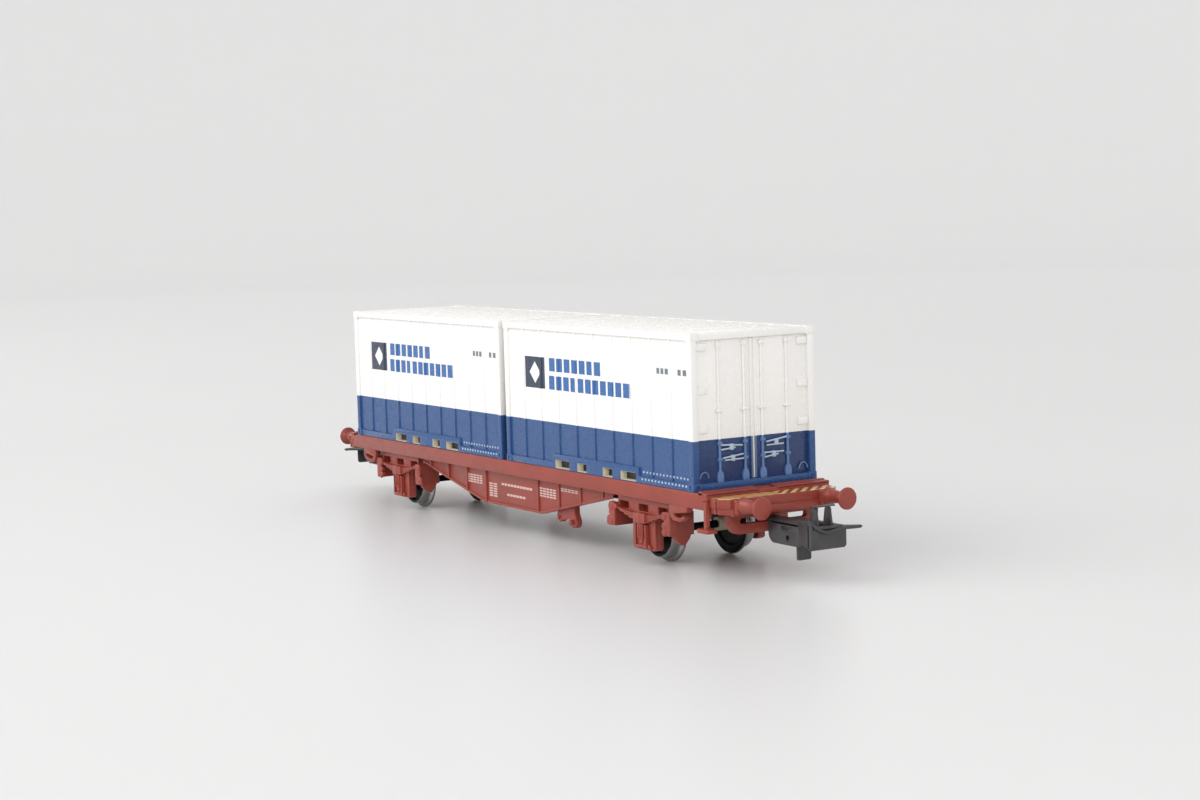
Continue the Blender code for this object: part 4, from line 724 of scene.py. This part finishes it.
# ---------------------------------------------------------------- couplers
def build_coupler(end_name, end):
    body = end_name + "_coupler"
    top = SHANK_TOP
    gap = 2.1
    shank = ([(HEAD_X + 0.5, 1.6)] + arc(PIVOT_X, 0, 2.0, 60, 300, 20)
             + [(HEAD_X + 0.5, -1.6), (HEAD_X + 0.9, -3.2), (92.7, -3.2), (92.7, 3.2), (HEAD_X + 0.9, 3.2)])
    window = rounded(86.45, -gap, 91.9, gap, 0.4)
    parts = [soft(plate(shank, "XY", top - SHEET, top, [window, circle(PIVOT_X, 0, 0.86, 32)]), 0.06)]
    low = top - 4.1
    cheek = ([(HEAD_X, top - 0.3)] + [(HEAD_X, low + 1.9)] + arc(HEAD_X + 1.8, low + 1.8, 1.8, 180, 270, 8)
             + [(HEAD_END - 0.4, low), (HEAD_END, low + 0.4), (HEAD_END, top - 0.5),
                (HEAD_END - 0.3, top - 0.02),
                (HEAD_X + 0.3, top - 0.02)])
    holes = [circle(PIN_X, PIN_Z, 0.5, 24), rounded(82.6, 9.55, 84.4, 10.15, 0.29)]
    parts += [soft(plate(cheek, "XZ", y, y + SHEET, holes), 0.06) for y in (-3.2, 2.75)]
    front = [(-4.2, 11.8), (-4.2, 7.0), (-3.8, 6.5), (3.8, 6.5), (4.2, 6.9), (4.2, 9.8), (1.5, 9.7),
             (0.5, 9.55),
             (-0.6, 9.7), (-1.6, 10.3), (-3.3, 11.8)]
    parts.append(soft(plate(front, "YZ", FACE_X - SHEET - 0.55, FACE_X - 0.55), 0.06))
    path = [(-4.15, 11.3), (-3.7, 11.25), (-3.0, 10.75), (-2.2, 10.2), (-1.2, 9.78), (-0.3, 9.65),
            (0.7, 9.75),
            (2.0, 9.95), (3.7, 10.05), (5.5, 9.98), (7.3, 9.95)]
    band = [(y, z - 0.3) for y, z in path] + [(y, z + 0.3) for y, z in reversed(path)]
    parts.append(soft(plate(band, "YZ", FACE_X - 0.9, FACE_X - 0.01), 0.22, 4, 50))
    bend = [(HEAD_END - 0.6, -3.2), (HEAD_END + 0.6, -3.25), (89.6, -3.5), (90.8, -3.95), (92.0, -4.2),
            (FACE_X, -4.2), (FACE_X, -3.75), (92.0, -3.75), (90.9, -3.5), (89.7, -3.05),
            (HEAD_END - 0.6, -2.8)]
    parts.append(soft(plate(bend, "XY", 7.0, 11.3), 0.1, 3, 40))
    parts += [rod("X", (0, y, top - 0.47), 0.47, HEAD_X + 0.25, HEAD_END - 0.2, 24, 0.1) for y in (-2.72,
                                                                                                   2.72)]
    nose = [(FACE_X - 0.05, 3.3), (FACE_X - 0.05, 7.45), (FACE_X - 0.8, 7.45), (88.2, 2.95), (88.2, 2.5),
            (89.8, 2.5)]
    parts.append(soft(plate(nose, "XY", 9.75, 10.2), 0.08))
    piece(body + "_head_fold", turned_end(merged(parts), end), steel, body, STEEL_SLOT,
          end_name + "_coupler_head")
    pin = rod("Y", (PIN_X, 0, PIN_Z), 0.45, -2.95, 2.95, 32, 0.12)
    piece(body + "_cross_pin", turned_end(pin, end), dark_steel, body, STEEL_SLOT, end_name + "_bail_pin")

    eye = 1.01
    front_x, high = PIN_X + 7.15, top + 3.4
    arm = (arc(PIN_X, PIN_Z, eye, 60, 300, 14)
           + [(front_x - 0.3, PIN_Z - 0.8), (front_x, PIN_Z - 0.5), (front_x + 0.05, top),
              (front_x - 0.35, high - 1.2)]
           + arc(front_x - 1.05, high - 0.85, 0.7, 5, 90, 6) + arc(front_x - 1.25, high - 0.85, 0.7, 90,
                                                                   170, 6)
           + [(front_x - 2.35, top + 0.3), (front_x - 2.7, PIN_Z + 0.75)])
    bail = [soft(plate(arm, "XZ", y, y + SHEET, [circle(PIN_X, PIN_Z, 0.51, 24)]), 0.07) for y in (-1.75,
                                                                                                   1.3)]
    bail.append(sbox((front_x - 1.3, -2.1, high - 0.12), (front_x - 0.35, 2.6, high + 0.12), 0.05))
    tongue = rounded(-1.55, 3.7, 1.55, 7.4, 0.4)
    bail.append(soft(plate(tongue, "YZ", 84.9, 85.35), 0.08))
    bail.append(sbox((84.9, -1.5, 6.85), (front_x - 0.3, 1.5, 7.25), 0.1))
    piece(end_name + "_bail_fold", turned_end(merged(bail), end), steel, end_name + "_bail", STEEL_SLOT,
          end_name + "_coupler_bail")

    profile = [(0, 9.65), (1.3, 9.65), (1.5, 9.8), (1.5, 10.15), (0.8, 10.15), (0.8, 14.7), (0, 14.7)]
    piece(end_name + "_pivot_stud", turned_end(turned(profile, "Z", (PIVOT_X, 0, 0), 48), end), steel,
          "chassis",
          "bright_steel", end_name + "_coupler_pivot_pin")
    low_z, high_z, radius = 10.94, 12.16, 1.21
    coil = [(PIVOT_X + radius * cos(2 * pi * i / 28), radius * sin(2 * pi * i / 28),
             low_z + (high_z - low_z) * i / 70) for i in range(71)]
    piece(end_name + "_spring_coil", turned_end(tube(coil, 0.16), end), steel, "chassis", "bright_steel",
          end_name + "_centring_spring")


# ---------------------------------------------------------------- containers
def build_container(end_name, end):
    body = end_name + "_container"
    m, half, wide = end * MIDDLE, LENGTH / 2, WIDTH / 2
    z0, z1 = BASE_Z, TOP_Z
    shell = []
    pockets = [(s * lo, s * hi) for lo, hi in POCKETS for s in (-1, 1)]
    openings = [rectangle(m + min(p), z0 + 0.15, m + max(p), z0 + 1.85) for p in pockets]
    for side in (-1, 1):
        wall = rectangle(m - half + 0.4, z0 + 0.06, m + half - 0.4, z1 - 0.5)
        shell.append(corner(plate(wall, "XZ", -PANEL_Y, -PANEL_Y + 1.0, openings), 1, side))
        base = [(m - half + 0.6, z0 + 0.04), (m + half - 0.6, z0 + 0.04), (m + half - 0.6, z0 + 1.34),
                (m + 16.0, z0 + 1.34), (m + 16.0, z0 + 3.0), (m - 16.0, z0 + 3.0), (m - 16.0, z0 + 1.34),
                (m - half + 0.6, z0 + 1.34)]
        shell.append(corner(soft(plate(base, "XZ", -13.97, -12.7, openings), 0.1), 1, side))
        rail = sbox((m - half + 0.6, -wide, z1 - 1.34), (m + half - 0.6, -12.6, z1 - 0.04), 0.14)
        shell.append(corner(rail, 1, side))
        for k in range(-4, 5):
            x = m + RIB_PITCH * k
            low = z0 + (2.8 if abs(k) <= 2 else 1.2)
            rib = [(x - 0.34, -PANEL_Y + 0.1), (x - 0.2, -PANEL_Y - 0.28), (x + 0.2, -PANEL_Y - 0.28),
                   (x + 0.34, -PANEL_Y + 0.1)]
            shell.append(corner(soft(plate(rib, "XY", low, z1 - 1.1), 0.06), 1, side))
        for i in (-1, 1):
            shell.append(corner(sbox((m + i * half, -wide, z0 + 0.02),
                                     (m + i * (half - 1.4), -wide + 1.4, z1 - 0.02),
                                     0.14), 1, side))
    shell.append(sbox((m - half + 0.5, -13.2, z1 - 1.0), (m + half - 0.3, 13.2, z1 - 0.14), 0.1))
    for k in range(-4, 5):
        x = m + RIB_PITCH * k
        shell.append(sbox((x - 2.2, -12.2, z1 - 0.3), (x + 2.2, 12.2, z1 - 0.03), 0.1))
    back = m - half
    shell.append(sbox((back + 0.45, -13.2, z0 + 0.1), (back + 1.45, 13.2, z1 - 0.3), 0.05))
    for low in (z0 + 0.06, z1 - 1.36):
        shell.append(sbox((back + 0.02, -13.0, low), (back + 1.4, 13.0, low + 1.3), 0.12))
        shell.append(sbox((back + LENGTH - 0.02, -13.0, low), (back + LENGTH - 1.4, 13.0, low + 1.3), 0.12))
    for k in range(-4, 5):
        shell.append(sbox((back + 0.17, 2.6 * k - 0.3, z0 + 1.2), (back + 0.6, 2.6 * k + 0.3, z1 - 1.2),
                          0.08))
    piece(body + "_walls", shell, paint, body, WHITE_SLOT, body + "_shell")
    rivets = []
    for side in (-1, 1):
        for y, z in ((13.95, 16.75), (PANEL_Y - 0.02, 18.05)):
            rivets += [dome("Y", (m + 17.4 + 1.15 * i, side * y, z), 0.25, 0.2, side, 12) for i in range(14)]
    # Rivets in the pale blue of painted highlight.
    piece(body + "_rivets", rivets, highlight_blue_paint, body, WHITE_SLOT)
    liners = []
    for side in (-1, 1):
        for p in pockets:
            x0, x1 = m + min(p), m + max(p)
            liners.append(corner(plate(rectangle(x0 - 0.02, z0 + 0.13, x1 + 0.02, z0 + 1.87), "XZ", -13.9,
                                       -12.45,
                                       [rectangle(x0 + 0.05, z0 + 0.2, x1 - 0.05, z0 + 1.8)]), 1, side))
    piece(body + "_pocket_linings", liners, cream, body, WHITE_SLOT)

    blocks, bores = [], []
    for i in (-1, 1):
        for k in (-1, 1):
            for low in (z0, z1 - 1.5):
                x0, x1 = m + i * (half + 0.1), m + i * (half - 1.9)
                y0, y1 = k * (wide + 0.1), k * (wide - 1.9)
                blocks.append(sbox((x0, y0, low), (x1, y1, low + 1.5), 0.1))
                mid = low + 0.75
                if low > z0:
                    continue
                bores.append(turned([(0, -0.22), (0.42, -0.22), (0.42, 0.5), (0, 0.5)], "Y",
                                    ((x0 + x1) / 2, y0 - k * 0.14, mid), 24))
                bores.append(turned([(0, -0.36), (0.42, -0.36), (0.42, 0.36), (0, 0.36)], "X",
                                    (x0, (y0 + y1) / 2, mid), 24))
    cut(piece(body + "_castings", blocks, paint, body, WHITE_SLOT), bores)
    build_doors(body, m + half)
    inner = sbox((m - half + 1.55, -12.5, z0 + 0.12), (m + half - 1.85, 12.5, z0 + 2.0), 0.1)
    piece(body + "_base", inner, black, body, "container_floor", body + "_floor")


def build_doors(body, outside):
    face = outside - 0.65
    z0, z1 = BASE_Z + 1.35, TOP_Z - 1.35
    parts, gear = [], []
    for side in (-1, 1):
        y0, y1 = sorted((side * -0.02, side * 12.7))
        parts.append(sbox((face - 1.1, y0, z0 - 0.1), (face, y1, z1 + 0.1), 0.02))
        for place in ROD_PLACES:
            y = side * place
            gear.append(rod("Z", (face + 0.2, y, 0), 0.28, 17.6, 43.3, 20))
            parts.append(sbox((face - 0.1, y - 0.75, 30.25), (face + 0.62, y + 0.75, 30.75), 0.08))
            parts.append(sbox((face - 0.1, y - 0.55, 42.3), (face + 0.6, y + 0.55, 43.0), 0.1))
            cam = [(y + 0.72 * cos(t * pi / 12), 18.0 + 1.4 * sin(t * pi / 12)) for t in range(24)]
            gear.append(soft(plate(cam, "YZ", face - 0.1, face + 0.5), 0.08, 2, 40))
            for z in (21.4, 24.4):
                gear.append(sbox((face - 0.1, y - 0.5, z - 0.3), (face + 0.55, y + 0.5, z + 0.3), 0.08))
        for z, height in ((42.4, 0.7), (34.4, 0.7), (27.2, 0.7)):
            parts.append(sbox((face - 0.1, side * 10.3, z - height), (face + 0.4, side * 12.5, z + height),
                              0.1))
        loop = [(face + 0.22, side * (11.3 + 0.95 * cos(radians(t))), 18.2 + 1.1 * sin(radians(t)))
                for t in range(0, 181, 18)]
        gear.append(tube(loop, 0.16))
        gear.append(sbox((face - 0.1, side * 0.25, z0 + 0.1), (face + 0.3, side * 0.6, z1 - 0.1), 0.08))
    piece(body + "_door_leaves", parts, shaded_door_paint, body, WHITE_SLOT, body + "_doors")
    piece(body + "_door_gear", gear, rod_highlight_paint, body, WHITE_SLOT)
    piece(body + "_door_seal", sbox((face - 0.1, -0.17, z0 + 0.2), (face + 0.24, 0.17, SPLIT_Z), 0.06),
          cream, body,
          WHITE_SLOT)
    bars = []
    x = face + 0.42
    grips = (((-7.6, 24.1), (-2.75, 23.75), (-7.6, 23.2), (-4.4, 23.45)),
             ((-7.2, 21.6), (-2.6, 22.1), (-6.8, 21.2), (-2.55, 21.25)),
             ((2.7, 23.9), (7.35, 24.5), (2.75, 23.25), (6.6, 23.3)),
             ((2.15, 21.9), (6.65, 21.85), (2.15, 21.0), (5.4, 21.45)))
    for p, q, r, t in grips:
        for a, b in ((p, q), (r, t)):
            steps = [Vector((x, a[0] + (b[0] - a[0]) * i / 4,
                             a[1] + (b[1] - a[1]) * i / 4)) for i in range(5)]
            bars.append(tube(steps, 0.17, 12))
        mid = (p[0] + q[0]) / 2
        level = (p[1] + q[1] + r[1] + t[1]) / 4
        bars.append(sbox((face - 0.05, mid - 0.4, level - 0.6), (face + 0.62, mid + 0.4, level + 0.55), 0.1))
    # Grip handles in the pale blue of painted highlight.
    piece(body + "_handles", bars, highlight_blue_paint, body, WHITE_SLOT)


# ---------------------------------------------------------------- generic marks
def mark(name, rects, mat, body, y0, slot):
    piece(name, [sbox((x0, -y0 - 0.03, z0), (x1, -y0 + 0.05, z1), 0.01) for x0, z0, x1, z1 in rects], mat,
          body, slot)


def build_marks():
    bars = []
    for x0, z0, x1, z1, rows in ((-19.9, 9.4, -12.8, 11.4, 4), (-10.0, 7.2, -6.2, 10.3, 6),
                                 (-4.6, 10.0, 8.6, 10.8, 1),
                                 (-2.3, 7.9, 5.6, 8.7, 1), (11.5, 9.2, 18.3, 11.3, 4),
                                 (20.1, 11.1, 27.0, 11.9, 2)):
        pitch = (z1 - z0) / rows
        for r in range(rows):
            low = z0 + r * pitch
            count = max(2, int((x1 - x0) / 1.3))
            step = (x1 - x0) / count
            bars += [(x0 + i * step, low, x0 + (i + 0.8) * step, low + pitch * 0.62) for i in range(count)]
    mark("web_marks", bars, mark_pale, "chassis", 12.4, RED_SLOT)


# ---------------------------------------------------------------- assembly
build_frame()
for end, end_name in ((1, "front"), (-1, "rear")):
    build_headstock(end_name, end)
    build_step(end_name, end)
    build_changeover(end_name, end)
    build_wheelset(end_name, end)
    build_coupler(end_name, end)
    build_container(end_name, end)
    for side, side_name in ((-1, "left"), (1, "right")):
        build_buffer(end_name, side_name, end, side)
        build_corner(end_name, side_name, end, side)
build_marks()
plate_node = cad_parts["ballast_plate"]
plate_node.data.materials.clear()
plate_node.data.materials.append(ballast)


# ---------------------------------------------------------------- stage, light, camera
def build_stage():
    radius, fillet, rise = 1.9, 0.5, 1.1
    profile = [(0, 0), (0.3, 0), (radius - fillet, 0)]
    profile += [(radius - fillet + fillet * sin(radians(t)), fillet - fillet * cos(radians(t)))
                for t in range(10, 91, 10)] + [(radius, rise)]
    bm = bmesh.new()
    rings = []
    for r, z in profile:
        rings.append([bm.verts.new((r * cos(2 * pi * i / 96), r * sin(2 * pi * i / 96), z))
                      for i in range(96 if r else 1)])
    for low, high in zip(rings, rings[1:]):
        for i in range(96):
            k = (i + 1) % 96
            corners = [low[i % len(low)], low[k % len(low)], high[k], high[i]]
            bm.faces.new(list(dict.fromkeys(corners)))
    mesh = bpy.data.meshes.new("stage")
    bm.to_mesh(mesh)
    bm.free()
    mesh.shade_smooth()
    stage = bpy.data.objects.new("stage", mesh)
    bpy.context.scene.collection.objects.link(stage)
    n = Nodes("stage_paper")
    x, y, _ = n.split()
    distance = n.math("SQRT", n.math("ADD", n.math("MULTIPLY", x, x), n.math("MULTIPLY", y, y)))
    # Paper gets lighter from the middle outwards: painted light, a darker floor round the car and a brighter
    # sweep behind it.
    near = n.mix(n.ramp(n.noise(3.0), 0.3, 0.7, 0.0, 1.0), rgb(0.70, 0.70, 0.70), rgb(0.72, 0.72, 0.72))
    n.link(n.mix(n.ramp(distance, 0.25, 1.3, 0.0, 1.0), near, rgb(0.86, 0.86, 0.86)),
           n.shader.inputs["Base Color"])
    n.shader.inputs["Roughness"].default_value = 0.32
    mesh.materials.append(n.mat)


def area_light(name, place, target, size, energy, colour=(1, 1, 1)):
    data = bpy.data.lights.new(name, "AREA")
    data.shape = "RECTANGLE"
    data.size, data.size_y = size
    data.energy = energy
    data.color = colour
    obj = bpy.data.objects.new(name, data)
    obj.location = place
    obj.rotation_euler = (Vector(target) - Vector(place)).to_track_quat("-Z", "Y").to_euler()
    bpy.context.scene.collection.objects.link(obj)


build_stage()
area_light("key", (-0.3, -0.9, 0.66), (0, 0, 0.02), (1.2, 0.9), 8.5)
area_light("top", (0.0, 0.1, 1.2), (0, 0, 0), (1.2, 1.2), 0.2)
area_light("fill", (1.1, -0.5, 0.4), (0, 0, 0.03), (0.7, 0.7), 4.2)
world = bpy.data.worlds.new("soft")
world.use_nodes = True
world.node_tree.nodes["Background"].inputs["Color"].default_value = rgb(1.0, 0.99, 0.985)
world.node_tree.nodes["Background"].inputs["Strength"].default_value = 0.84
bpy.context.scene.world = world
bpy.context.scene.view_settings.view_transform = "Standard"


def build_camera():
    azimuth, elevation, roll = radians(58.45), radians(5.24), radians(-1.68)
    back = Vector((sin(azimuth) * cos(elevation), -cos(azimuth) * cos(elevation), sin(elevation)))
    right = (-back).cross(Vector((0, 0, 1))).normalized()
    up = right.cross(-back).normalized()
    c, s = cos(roll), sin(roll)
    across, upward = right * c + up * s, up * c - right * s
    data = bpy.data.cameras.new("camera")
    data.lens, data.sensor_width = 67.61, 36.0
    data.clip_start, data.clip_end = 0.01, 20.0
    camera = bpy.data.objects.new("camera", data)
    matrix = Matrix((across, upward, back)).transposed().to_4x4()
    matrix.translation = Vector((0.410745, -0.242355, 0.07096))
    camera.matrix_world = matrix
    bpy.context.scene.collection.objects.link(camera)
    bpy.context.scene.camera = camera


build_camera()
